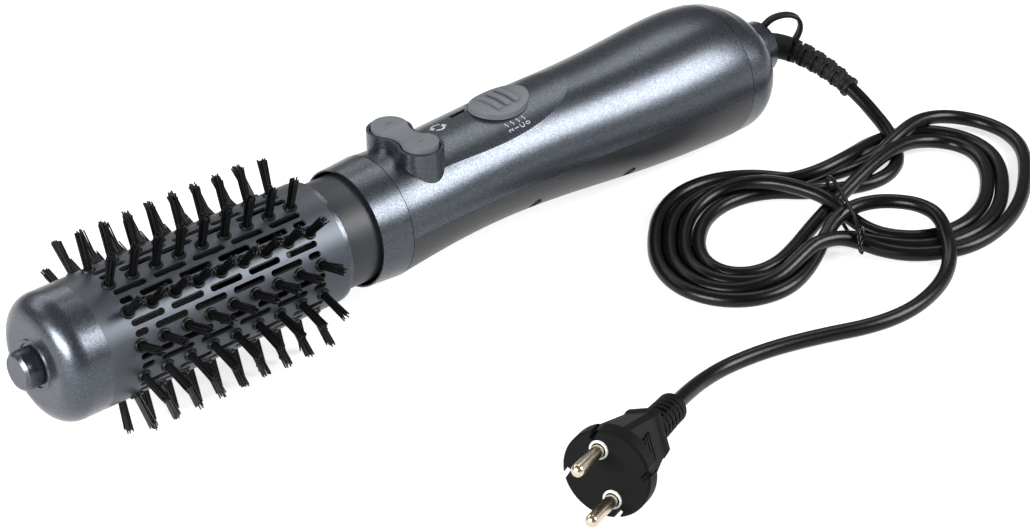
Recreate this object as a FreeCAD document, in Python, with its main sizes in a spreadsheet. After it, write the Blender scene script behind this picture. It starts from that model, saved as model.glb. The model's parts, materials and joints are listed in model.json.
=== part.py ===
import FreeCAD, Part
import math
import os
import Sketcher

# Rotating hot air brush: perforated barrel with twelve rows of bristle tufts, two-shell handle
# with a rocker for the turning direction and a slide switch, and a mains cord on a swivel.
#
# The brush is drawn along +X from the tip (x = 0) to the tail, with its axis on y = z = 0 and
# the switches on +Z. Every piece then gets one common Placement, "lie_down", that lays the
# brush on a floor at z = 0: it rests on its rearmost tufts and on the widest ring of its tail.
# The cord, its hank and its plug are drawn directly where they lie on that floor.

SIZES = {
    # tip and barrel
    "knob_radius": 7.6, "knob_reach": 7.6, "knob_shank_radius": 4.6, "cap_length": 17.6,
    "cap_face_radius": 16.0, "cap_ring_radius": 9.8, "barrel_radius": 25.0,
    "barrel_length": 107.3, "barrel_wall": 0.9, "ring_length": 2.4, "plastic_wall": 2.2,
    # slots and bristles
    "row_count": 12, "tufts_per_row": 9, "tuft_first": 12.5, "tuft_pitch": 10.25,
    "tuft_root_radius": 2.6, "tuft_tip_radius": 2.0, "tuft_reach": 40.5, "strip_depth": 1.6,
    "strip_width": 7.0, "slot_first": 11.6, "slot_span": 84.0, "slot_gap": 3.0,
    "slot_width": 2.6, "slot_offset": 2.05,
    # neck and collar
    "neck_radius": 22.2, "neck_length": 22.0, "neck_gap": 14.8, "collar_length": 14.4,
    "collar_lip_radius": 24.4, "collar_bore_radius": 23.5, "duct_radius": 14.5,
    # handle
    "collar_radius": 25.4, "handle_length": 186.6, "tail_radius": 30.2, "shell_wall": 2.4,
    "tail_dome_length": 32.2, "boss_radius": 11.8, "boss_reach": 4.0, "scoop_radius": 30.0,
    "grille_slot_width": 2.2, "screw_radius": 1.3, "screw_head_radius": 2.6,
    "screw_post_radius": 3.2,
    # rocker and its pedestal
    "rocker_x": 181.8, "lobe_spacing": 19.0, "lobe_radius": 7.3, "waist_half": 4.6,
    "rocker_gap": 0.7, "pedestal_rim": 1.3, "pedestal_top": 29.0, "rocker_top": 30.8,
    "rocker_pin_radius": 1.2, "rocker_pin_z": 23.6, "rocker_lift": 1.6, "rocker_leg_y": 7.5,
    # slide switch
    "slider_x": 231.0, "slider_half_length": 13.5, "slider_half_width": 10.5,
    "slider_height": 2.5, "slider_travel": 7.5, "slider_stem_width": 3.0,
    "slider_stem_length": 8.0, "guide_slot_y": 7.4, "guide_slot_width": 2.4,
    # controls inside the handle
    "board_start": 171.0, "board_end": 240.0, "board_width": 21.0, "board_thickness": 0.8,
    "switch_height": 4.0,
    # air path, motors and shaft
    "shaft_radius": 2.5, "running_gap": 0.1, "heater_x": 200.0, "heater_length": 46.0,
    "gear_motor_x": 250.0, "gear_motor_radius": 9.5, "gear_motor_length": 34.0,
    "fan_motor_x": 296.0, "fan_motor_radius": 13.0, "fan_motor_length": 28.0,
    "shroud_radius": 24.6, "fan_x": 329.0, "fan_radius": 22.0, "fan_length": 11.0,
    # cord and plug
    "cord_radius": 3.1, "swivel_radius": 7.6, "relief_root_radius": 6.2,
    "relief_end_radius": 4.6, "relief_wall": 0.9, "loop_plate": 3.0, "pin_radius": 2.4,
    "pin_root_radius": 1.8, "pin_spacing": 19.0, "pin_length": 19.0,
    "pin_collar_radius": 3.5, "plug_flange_radius": 18.5,
    "plug_flange_width": 26.0, "plug_flange_depth": 9.0, "plug_body_length": 36.0,
    "plug_relief_length": 22.0, "hank_height": 12.4,
}

doc = FreeCAD.newDocument("hot_air_brush")
sheet = doc.addObject("Spreadsheet::Sheet", "dims")
for row, (alias, number) in enumerate(SIZES.items(), start=1):
    sheet.set("A%d" % row, alias)
    sheet.set("B%d" % row, str(number))
    sheet.setAlias("B%d" % row, alias)
doc.recompute()


class Size:
    """A length that knows its number and the sheet formula that gives it."""

    def __init__(self, number, formula):
        self.number = float(number)
        self.formula = formula

    def joined(self, other, sign, number):
        return Size(number, "(%s %s %s)" % (self.formula, sign, as_size(other).formula))

    def __add__(self, other):
        return self.joined(other, "+", self.number + as_size(other).number)

    def __sub__(self, other):
        return self.joined(other, "-", self.number - as_size(other).number)

    def __mul__(self, other):
        return self.joined(other, "*", self.number * as_size(other).number)

    def __truediv__(self, other):
        return self.joined(other, "/", self.number / as_size(other).number)

    def __neg__(self):
        return as_size(0) - self

    def __float__(self):
        return self.number


def as_size(value):
    """A Size stays as it is; a plain number becomes one."""
    if isinstance(value, Size):
        return value
    return Size(value, repr(float(value)))


class Sizes:
    """The sheet's cells by name, as in d.barrel_radius."""

    def __init__(self):
        for alias in SIZES:
            setattr(self, alias, Size(sheet.get(alias), "dims." + alias))


d = Sizes()

# Stations along the axis, from the tip back.
cap_front = d.knob_reach
barrel_start = cap_front + d.cap_length
barrel_end = barrel_start + d.barrel_length
ring_end = barrel_end + d.ring_length
lip_x = ring_end + d.neck_gap
seam_x = lip_x + d.collar_length
tail_x = seam_x + d.handle_length
boss_root_x = tail_x + d.tail_dome_length * 0.9
boss_end_x = boss_root_x + d.boss_reach
neck_end = ring_end + d.neck_length
strip_top = d.barrel_radius - d.barrel_wall - 0.4
strip_floor = strip_top - d.strip_depth

# The axis drops towards the tail: the rearmost tufts reach lower than the tail does.
row_step = 360.0 / d.row_count.number
first_row_angle = row_step / 2
last_tuft_x = float(barrel_start + d.tuft_first + d.tuft_pitch * (d.tufts_per_row - 1))
lowest_tuft = d.tuft_reach.number * math.cos(math.radians(first_row_angle))
tuft_half_width = d.tuft_tip_radius.number * math.sqrt(0.75)
lowest_tuft += tuft_half_width * math.sin(math.radians(first_row_angle))
touch_x = last_tuft_x + d.tuft_tip_radius.number
drop = lowest_tuft - d.tail_radius.number
lay_angle = math.atan2(drop, tail_x.number - touch_x)
lie_down = FreeCAD.Placement(FreeCAD.Vector(0, 0, 0), FreeCAD.Rotation(FreeCAD.Vector(0, 1, 0),
                                                                     math.degrees(lay_angle)))
lowest_point = lie_down.multVec(FreeCAD.Vector(tail_x.number, 0, -d.tail_radius.number))
tip_point = lie_down.multVec(FreeCAD.Vector(0, 0, d.knob_radius.number * -1))
end_point = lie_down.multVec(FreeCAD.Vector(boss_end_x.number, 0, d.boss_radius.number))
lie_down.Base = FreeCAD.Vector(-(tip_point.x + end_point.x) / 2, 0, -lowest_point.z)

SUBPARTS = []
ALONG_X = FreeCAD.Rotation(FreeCAD.Vector(0, 1, 0), 90)
ALONG_Z = FreeCAD.Rotation()


def keep(piece, label, placed=True):
    """Register a finished piece as a sub-part under its label and lay it down."""
    piece = movable(piece, label)
    piece.Label = label
    SUBPARTS.append(piece)
    if placed:
        piece.Placement = lie_down.multiply(piece.Placement)
    return piece


def movable(piece, label):
    """A primitive's place is bound to the sheet, so a compound around it takes the Placement."""
    if not piece.isDerivedFrom("Part::Primitive"):
        return piece
    piece.Label = label + "_form"
    return gathered(label + "_whole", piece)


def gathered(name, *pieces):
    """Several separate solids, or one primitive, as one object with a Placement of its own."""
    group = doc.addObject("Part::Compound", name)
    group.Links = list(pieces)
    return group


def place(piece, at, rotation=ALONG_Z):
    """Put a primitive's base point at the three sizes in at, turned by rotation."""
    numbers = [as_size(value) for value in at]
    piece.Placement = FreeCAD.Placement(FreeCAD.Vector(*[float(v) for v in numbers]), rotation)
    for axis, value in zip("xyz", numbers):
        piece.setExpression("Placement.Base." + axis, value.formula)
    return piece


def rod(name, radius, length, at, rotation=ALONG_X):
    """A cylinder along X, or along another axis, from the point at."""
    piece = doc.addObject("Part::Cylinder", name)
    piece.setExpression("Radius", as_size(radius).formula)
    piece.setExpression("Height", as_size(length).formula)
    return place(piece, at, rotation)


def block(name, length, width, height, at):
    """A box centred on y about at, from x and z of at."""
    piece = doc.addObject("Part::Box", name)
    piece.setExpression("Length", as_size(length).formula)
    piece.setExpression("Width", as_size(width).formula)
    piece.setExpression("Height", as_size(height).formula)
    x, y, z = [as_size(value) for value in at]
    return place(piece, (x, y - as_size(width) / 2, z))


def cut(name, base, *tools):
    """The base with every tool taken away."""
    piece = doc.addObject("Part::Cut", name)
    piece.Base = base
    piece.Tool = tools[0] if len(tools) == 1 else fuse(name + "_tools", *tools)
    return piece


def fuse(name, *shapes):
    """One solid from several that overlap or touch."""
    piece = doc.addObject("Part::MultiFuse", name)
    piece.Shapes = list(shapes)
    return piece


def common(name, *shapes):
    """What the shapes share."""
    piece = doc.addObject("Part::MultiCommon", name)
    piece.Shapes = list(shapes)
    return piece


def spoke(name, length, width, inner, outer, x, angle):
    """A radial bar from the inner to the outer radius, turned by angle about the axis."""
    bar = block(name + "_bar", length, width, as_size(outer) - inner, (x, 0, inner))
    return about_axis(name, bar, angle)


def about_axis(name, piece, angle):
    """A piece turned by angle about the brush's axis."""
    group = gathered(name, piece)
    group.Placement = FreeCAD.Placement(FreeCAD.Vector(0, 0, 0), FreeCAD.Rotation(
        FreeCAD.Vector(1, 0, 0), angle))
    return group


def spokes(name, count, length, width, inner, outer, x, first=0.0):
    """Evenly spread radial bars."""
    step = 360.0 / count
    return [spoke("%s_%d" % (name, n), length, width, inner, outer, x, first + step * n)
            for n in range(count)]


def tube(name, outer, inner, length, at, rotation=ALONG_X):
    """A round tube."""
    outside = rod(name + "_outer", outer, length, at, rotation)
    inside = rod(name + "_inner", inner, length, at, rotation)
    return cut(name, outside, inside)


def origin_plane(body, role):
    """One of a body's own origin planes."""
    return [item for item in body.Origin.OriginFeatures if item.Role == role][0]


def outline(body, name, role, points, offset=None):
    """A closed polyline sketch whose corners are bound to the sheet."""
    sketch = body.newObject("Sketcher::SketchObject", name)
    sketch.AttachmentSupport = (origin_plane(body, role), [""])
    sketch.MapMode = "FlatFace"
    if offset is not None:
        sketch.setExpression("AttachmentOffset.Base.z", as_size(offset).formula)
    corners = [(as_size(u), as_size(v)) for u, v in points]
    vectors = [FreeCAD.Vector(float(u), float(v), 0) for u, v in corners]
    count = len(corners)
    for index in range(count):
        line = Part.LineSegment(vectors[index], vectors[(index + 1) % count])
        sketch.addGeometry(line, False)
    for index in range(count):
        link = Sketcher.Constraint("Coincident", index, 2, (index + 1) % count, 1)
        sketch.addConstraint(link)
    for index, (u, v) in enumerate(corners):
        pin_corner(sketch, index, "DistanceX", u, -2)
        pin_corner(sketch, index, "DistanceY", v, -1)
    return sketch


def pin_corner(sketch, index, kind, value, axis):
    """Hold one coordinate of a corner: on an axis when it is nought, else by a distance."""
    if abs(value.number) < 1e-9:
        sketch.addConstraint(Sketcher.Constraint("PointOnObject", index, 1, axis))
        return
    name = "%s_%d" % (kind, index)
    if value.number > 0:
        rule = Sketcher.Constraint(kind, -1, 1, index, 1, value.number)
    else:
        rule = Sketcher.Constraint(kind, index, 1, -1, 1, -value.number)
        value = -value
    number = sketch.addConstraint(rule)
    sketch.renameConstraint(number, name)
    sketch.setExpression("Constraints." + name, value.formula)


def turned(label, points, rounds=()):
    """A body turned about X from (x, radius) corners, with some of its edges rounded.

    Each round is (x, radius of the edge, fillet size)."""
    body = doc.addObject("PartDesign::Body", label)
    sketch = outline(body, label + "_profile", "XZ_Plane", points)
    turn = body.newObject("PartDesign::Revolution", label + "_turn")
    turn.Profile = sketch
    turn.ReferenceAxis = (sketch, ["H_Axis"])
    turn.Angle = 360
    doc.recompute()
    last = turn
    for number, (x, radius, size) in enumerate(rounds):
        fillet = body.newObject("PartDesign::Fillet", "%s_round_%d" % (label, number))
        fillet.Base = (last, [ring_edge(last.Shape, float(x), float(radius))])
        fillet.setExpression("Radius", as_size(size).formula)
        doc.recompute()
        last = fillet
    body.Tip = last
    return body


def ring_edge(shape, x, radius):
    """The name of the circular edge about X at x with this radius."""
    for number, edge in enumerate(shape.Edges, start=1):
        curve = edge.Curve
        if isinstance(curve, Part.Circle) and abs(curve.Radius - radius) < 1e-4:
            if abs(curve.Center.x - x) < 1e-4:
                return "Edge%d" % number
    raise ValueError("no ring edge at x %.2f, radius %.2f" % (x, radius))


def shaped(name, shape):
    """A solid worked out by formula, for what a sketch or primitive doesn't fit."""
    piece = doc.addObject("Part::Feature", name)
    piece.Shape = shape
    return piece


def spun(shape, angle):
    """A copy of a shape turned about the brush's axis."""
    copy = shape.copy()
    copy.rotate(FreeCAD.Vector(0, 0, 0), FreeCAD.Vector(1, 0, 0), angle)
    return copy


# ---------------------------------------------------------------- tip and barrel

def make_tip_knob():
    """The free-turning cool tip: a round knob on a stepped shank."""
    shank_end = cap_front + d.plastic_wall * 2
    bore = d.shaft_radius + d.running_gap
    knob = turned("tip_knob", [
        (0, 0),
        (0, d.knob_radius - 1.2),
        (1.2, d.knob_radius),
        (d.knob_reach - 0.4, d.knob_radius),
        (d.knob_reach - 0.4, d.knob_shank_radius),
        (shank_end, d.knob_shank_radius),
        (shank_end, bore),
        (2.4, bore),
        (2.4, 0),
    ])
    keep(knob, "tip_knob")


def make_end_cap():
    """The barrel's domed front cap, with the ring around the knob and the front hub."""
    bore = d.knob_shank_radius + 0.3
    inner = d.barrel_radius - d.plastic_wall
    face_back = cap_front + d.plastic_wall
    spigot = d.barrel_radius - d.barrel_wall - 0.1
    corner = d.barrel_radius - d.cap_face_radius
    cap = turned("end_cap", [
        (cap_front, bore),
        (cap_front, d.cap_ring_radius - 1.4),
        (cap_front - 0.6, d.cap_ring_radius - 1.0),
        (cap_front - 0.6, d.cap_ring_radius),
        (cap_front, d.cap_ring_radius + 0.4),
        (cap_front, d.barrel_radius),
        (barrel_start, d.barrel_radius),
        (barrel_start, spigot),
        (barrel_start + 4.0, spigot),
        (barrel_start + 4.0, spigot - 1.6),
        (barrel_start - 3.0, inner),
        (face_back + 4.0, inner - 4.0),
        (face_back, d.cap_face_radius - 2.0),
        (face_back, bore),
    ], [(cap_front, d.barrel_radius, corner)])
    keep(cap, "end_cap")


def make_front_hub():
    """The spider inside the barrel's front that carries the tip pin."""
    x = barrel_start + 4.3
    bore = strip_floor - 0.1
    ring = tube("front_ring", bore, bore - 1.8, 4.0, (x, 0, 0))
    hub = rod("front_hub_core", 6.0, 4.0, (x, 0, 0))
    arms = [hub, ring] + spokes("front_arm", 3, 4.0, 2.4, 4.0, bore - 1.0, x)
    hole = rod("front_hub_bore", d.shaft_radius, 6.0, (x - 1.0, 0, 0))
    keep(cut("front_hub", fuse("front_hub_solid", *arms), hole), "front_hub")


def make_tip_pin():
    """The steel pin pressed into the front hub, on which the knob turns."""
    start = 2.7
    end = barrel_start + 8.3
    keep(rod("tip_pin", d.shaft_radius, end - start, (start, 0, 0)), "tip_pin")


def slot_corners(start, length, y):
    """The corners of one slot, seen from above the barrel."""
    half = d.slot_width / 2
    return [(start, y - half), (start + length, y - half),
            (start + length, y + half), (start, y + half)]


def hexagon(x, radius):
    """The corners of a hexagon about (x, 0), one of them on the axis."""
    tall = radius * math.sqrt(0.75)
    half = radius / 2
    return [(x + radius, 0), (x + half, tall), (x - half, tall),
            (x - radius, 0), (x - half, -tall), (x + half, -tall)]


def repeat_around(body, pocket, sketch, count, pitch):
    """Repeat a pocket along the barrel, and that line once for each row around it."""
    along = doc.addObject("PartDesign::LinearPattern", pocket.Name + "_along")
    body.addObject(along)
    along.Direction = (sketch, ["H_Axis"])
    along.setExpression("Length", (pitch * (count - 1)).formula)
    along.setExpression("Occurrences", count.formula)
    around = doc.addObject("PartDesign::PolarPattern", pocket.Name + "_around")
    body.addObject(around)
    around.Axis = (origin_plane(body, "X_Axis"), [""])
    around.Angle = 360
    around.setExpression("Occurrences", d.row_count.formula)
    grid = body.newObject("PartDesign::MultiTransform", pocket.Name + "_grid")
    grid.Originals = [pocket]
    grid.Transformations = [along, around]
    body.Tip = grid
    doc.recompute()


def make_barrel_tube():
    """The perforated metal barrel: a thin tube with one field of slots and holes, repeated."""
    body = doc.addObject("PartDesign::Body", "barrel_tube")
    inner = d.barrel_radius - d.barrel_wall
    profile = outline(body, "barrel_profile", "XZ_Plane", [
        (barrel_start, inner), (barrel_start, d.barrel_radius),
        (barrel_end, d.barrel_radius), (barrel_end, inner)])
    turn = body.newObject("PartDesign::Revolution", "barrel_turn")
    turn.Profile = profile
    turn.ReferenceAxis = (profile, ["H_Axis"])
    turn.Angle = 360
    doc.recompute()
    first = barrel_start + d.slot_first
    long_slot = (d.slot_span - d.slot_gap * 4) / 5
    pitch = long_slot + d.slot_gap
    short_slot = (d.slot_span - d.slot_gap * 5 - long_slot * 4) / 2
    second = first + short_slot + d.slot_gap
    last = first + d.slot_span - short_slot
    hole = hexagon(barrel_start + d.tuft_first, d.tuft_root_radius + d.running_gap)
    upper = d.slot_offset
    lower = -d.slot_offset
    fields = [
        ("upper_slot", slot_corners(first, long_slot, upper), 5, pitch, 0),
        ("lower_slot", slot_corners(second, long_slot, lower), 4, pitch, 0),
        ("short_slot", slot_corners(first, short_slot, lower), 2, last - first, 0),
        ("tuft_hole", hole, d.tufts_per_row, d.tuft_pitch, first_row_angle),
    ]
    level = FreeCAD.Vector(0, 0, d.barrel_radius.number - 3)
    for name, corners, count, step, angle in fields:
        sketch = outline(body, name, "XY_Plane", corners)
        turned_by = FreeCAD.Rotation(FreeCAD.Vector(1, 0, 0), angle)
        sketch.AttachmentOffset = FreeCAD.Placement(turned_by.multVec(level), turned_by)
        pocket = body.newObject("PartDesign::Pocket", name + "_pocket")
        pocket.Profile = sketch
        pocket.Length = 5
        pocket.Reversed = True
        doc.recompute()
        repeat_around(body, pocket, sketch, as_size(count), as_size(step))
    keep(body, "barrel_tube")


def tuft(x):
    """One tuft: a six-sided spike with flat faces."""
    ends = []
    for z, radius in ((strip_top - 0.5, d.tuft_root_radius), (d.tuft_reach, d.tuft_tip_radius)):
        ends.append([FreeCAD.Vector(float(u), float(v), float(z))
                     for u, v in hexagon(x, radius)])
    root, tip = ends
    faces = [Part.Face(Part.makePolygon(end + end[:1])) for end in ends]
    for n in range(6):
        after = (n + 1) % 6
        side = [root[n], root[after], tip[after], tip[n], root[n]]
        faces.append(Part.Face(Part.makePolygon(side)))
    return Part.Solid(Part.Shell(faces))


def bristle_row():
    """One moulded row: a nylon strip with its tufts, which stand through the barrel's holes."""
    width = d.strip_width.number
    corner = FreeCAD.Vector(float(barrel_start) + 4.2, -width / 2, float(strip_floor))
    strip = Part.makeBox(d.barrel_length.number - 8.4, width, d.strip_depth.number, corner)
    tufts = [tuft(barrel_start + d.tuft_first + d.tuft_pitch * index)
             for index in range(int(d.tufts_per_row.number))]
    return strip.multiFuse(tufts)


def make_bristle_rows():
    """The twelve rows of bristles around the barrel."""
    row = bristle_row()
    for number in range(int(d.row_count.number)):
        label = "bristle_row_%02d" % (number + 1)
        keep(shaped(label, spun(row, first_row_angle + row_step * number)), label)


def make_rear_ring():
    """The ring that closes the barrel's rear end."""
    outer = d.barrel_radius - 0.15
    spigot = d.barrel_radius - d.barrel_wall - 0.1
    bore = d.neck_radius + 0.05
    ring = turned("rear_ring", [
        (barrel_end - 4.0, bore), (barrel_end - 4.0, spigot), (barrel_end, spigot),
        (barrel_end, outer), (ring_end - 0.5, outer), (ring_end, outer - 0.5),
        (ring_end, bore)])
    keep(ring, "rear_ring")


def make_neck_sleeve():
    """The dark neck that runs from the barrel into the collar and turns with the barrel."""
    inner = d.neck_radius - d.plastic_wall
    start = barrel_end - 4.0
    sleeve = turned("neck_sleeve", [
        (start, inner), (start, d.neck_radius), (neck_end - 0.6, d.neck_radius),
        (neck_end, d.neck_radius - 0.6), (neck_end, inner)])
    keep(sleeve, "neck_sleeve")


def make_drive_hub():
    """The spider in the barrel's rear end, fixed to the shaft that turns the head."""
    outer = strip_floor - 0.1
    length = 6.0
    x = barrel_end - 4.0 - length
    ring = tube("drive_ring", outer, outer - 2.0, length, (x, 0, 0))
    core = rod("drive_core", 6.5, length, (x, 0, 0))
    arms = spokes("drive_arm", 3, length, 2.6, 5.0, outer - 1.0, x, 60.0)
    solid = fuse("drive_hub_solid", ring, core, *arms)
    keep(cut("drive_hub", solid, rod("drive_bore", d.shaft_radius, length + 2, (x - 1, 0, 0))),
         "drive_hub")


def make_drive_shaft():
    """The steel shaft from the gear motor through the heater to the drive hub."""
    start = barrel_end - 11.0
    end = d.gear_motor_x + 6.0
    keep(rod("drive_shaft", d.shaft_radius, end - start, (start, 0, 0)), "drive_shaft")


# ---------------------------------------------------------------- handle: collar and shells

def make_front_collar():
    """The handle's front ring, a bell mouth around the turning neck."""
    joint = seam_x - 0.15
    step = seam_x - 3.0
    spigot = d.collar_radius - d.shell_wall - 0.5
    inner = spigot - 1.8
    collar = turned("front_collar", [
        (lip_x, d.collar_bore_radius + 0.3), (lip_x, d.collar_lip_radius),
        (joint, d.collar_radius), (joint, spigot), (seam_x + 2.5, spigot),
        (seam_x + 2.5, inner), (step, inner), (step, d.collar_bore_radius - 0.2),
        (lip_x + 3.0, d.collar_bore_radius - 0.2)])
    keep(collar, "front_collar")


def make_bearing_spider():
    """The fixed spider behind the neck that carries the shaft's front bush."""
    length = 3.0
    x = seam_x - 3.0 - length
    outer = d.collar_bore_radius - 0.3
    ring = tube("spider_ring", outer, outer - 3.4, length, (x, 0, 0))
    core = rod("spider_core", 6.5, length + 2, (x, 0, 0))
    arms = spokes("spider_arm", 3, length, 2.4, 5.0, outer - 1.0, x)
    socket = tube("spider_socket", d.duct_radius + 2.0, d.duct_radius + 0.1, 5.0, (x, 0, 0))
    solid = fuse("spider_solid", ring, core, socket, *arms)
    keep(cut("bearing_spider", solid, rod("spider_bore", 4.2, 8.0, (x - 1, 0, 0))),
         "bearing_spider")


def make_shaft_bush():
    """The bronze bush in the spider."""
    x = seam_x - 6.0
    bush = tube("shaft_bush", 4.2, d.shaft_radius + d.running_gap, 5.0, (x, 0, 0))
    keep(bush, "shaft_bush")


# Half of the joint that shows between the shells and at their ends.
half_gap = 0.08

# Sections of the handle behind the collar: share of its length, radius, rise of the centre.
HANDLE_SECTIONS = [
    (0.0, d.collar_radius, 0.0),
    (0.13, d.collar_radius - 1.2, 1.2),
    (0.32, d.collar_radius - 0.8, 2.9),
    (0.515, d.collar_radius + 0.6, 1.9),
    (0.757, d.tail_radius - 1.2, 0.55),
    (1.0, d.tail_radius, 0.0),
]


def half_section(x, radius, rise, side, split):
    """The part of a circular section on one side of a level plane, as a closed wire."""
    reach = math.sqrt(radius ** 2 - (split - rise) ** 2)
    left = FreeCAD.Vector(x, -reach, split)
    right = FreeCAD.Vector(x, reach, split)
    top = FreeCAD.Vector(x, 0, rise + side * radius)
    return Part.Wire([Part.Arc(left, top, right).toShape(),
                      Part.LineSegment(right, left).toShape()])


def handle_form(name, inset, side, split, ends=0.0):
    """Half of the handle's waisted form, lofted through its sections and drawn in by inset.

    Side is 1 above the plane z = split and -1 below it; ends lengthens both ends."""
    wires = []
    last = len(HANDLE_SECTIONS) - 1
    for number, (share, radius, rise) in enumerate(HANDLE_SECTIONS):
        x = float(seam_x + d.handle_length * share)
        if number == 0:
            x = x - ends
        if number == last:
            x = x + ends
        wires.append(half_section(x, float(radius) - float(inset), rise, side, split))
    return shaped(name, Part.makeLoft(wires, True, False))


def section_at(x):
    """The handle's outer radius and its centre's rise at x, between the sections."""
    share = (float(x) - seam_x.number) / d.handle_length.number
    for (s0, r0, c0), (s1, r1, c1) in zip(HANDLE_SECTIONS, HANDLE_SECTIONS[1:]):
        if share <= s1:
            part = (share - s0) / (s1 - s0)
            return float(r0) + (float(r1) - float(r0)) * part, c0 + (c1 - c0) * part
    return d.tail_radius.number, 0.0


# The thumb panel is a scoop, one wide cylinder whose crown rises towards the tail. Its outline
# on the handle narrows to a point where the crown meets the handle's top.
SCOOP_RISE = 2.95
SCOOP_X = 225.0
SCOOP_CROWN = 25.8
scoop_slope = math.tan(math.radians(SCOOP_RISE))
scoop_turn = FreeCAD.Rotation(FreeCAD.Vector(0, 1, 0), 90 - SCOOP_RISE)


def crown_at(x):
    """Height of the thumb panel's middle line at x."""
    return SCOOP_CROWN + (float(x) - SCOOP_X) * scoop_slope


def scoop_cylinder(name, offset):
    """A long cylinder along the thumb panel, its surface offset from the panel's."""
    piece = doc.addObject("Part::Cylinder", name)
    piece.setExpression("Radius", (d.scoop_radius + offset).formula)
    piece.Height = 160
    start = FreeCAD.Vector(SCOOP_X, 0, SCOOP_CROWN - d.scoop_radius.number)
    start = start - scoop_turn.multVec(FreeCAD.Vector(0, 0, 80))
    piece.Placement = FreeCAD.Placement(start, scoop_turn)
    return piece


def beyond_scoop(name, offset, start):
    """What lies over the thumb panel, from x = start to the handle's rear."""
    above = block(name + "_block", 110, 60, 26, (start, 0, 10))
    return cut(name, above, scoop_cylinder(name + "_floor", offset))


def peanut_wire(z, lobe, waist, at=0.0):
    """The outline of two lobes across the handle joined by a waist, at height z."""
    reach = d.lobe_spacing.number / 2
    hollow = (reach ** 2 + waist ** 2 - lobe ** 2) / (2 * (lobe - waist))
    centre = waist + hollow
    lean = math.atan2(reach, centre)
    x0 = d.rocker_x.number + at
    side = []
    for sign_x in (1, -1):
        touch = FreeCAD.Vector(sign_x * (centre - hollow * math.cos(lean)),
                               hollow * math.sin(lean), 0)
        side.append((touch, FreeCAD.Vector(sign_x * waist, 0, 0)))
    shift = FreeCAD.Vector(x0, 0, z)

    def flip(point):
        return FreeCAD.Vector(point.x, -point.y, 0)

    right, right_mid = side[0]
    left, left_mid = side[1]
    far = FreeCAD.Vector(0, reach + lobe, 0)
    arcs = [
        (right, far, left),
        (left, left_mid, flip(left)),
        (flip(left), flip(far), flip(right)),
        (flip(right), right_mid, right),
    ]
    edges = [Part.Arc(a + shift, b + shift, c + shift).toShape() for a, b, c in arcs]
    return Part.Wire(edges)


def peanut_solid(z, height, lobe, waist):
    """A prism on the peanut outline."""
    face = Part.Face(peanut_wire(z, lobe, waist))
    return face.extrude(FreeCAD.Vector(0, 0, height))


def well_floor():
    """Height of the floor of the rocker's pocket, over the pivot pin."""
    return d.rocker_pin_z + d.rocker_pin_radius + 0.6


# The screws' places beside the heater and the motors, as x and y, and the seat of their heads.
SCREW_PLACES = [(234.0, -18.2), (234.0, 18.2), (286.0, -20.0), (286.0, 20.0)]
screw_seat = as_size(-7.0)


def screw_rods(name, radius, length, z):
    """An upright rod at each screw, from height z."""
    return [rod("%s_%d" % (name, n), radius, length, (x, y, z), ALONG_Z)
            for n, (x, y) in enumerate(SCREW_PLACES)]


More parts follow.
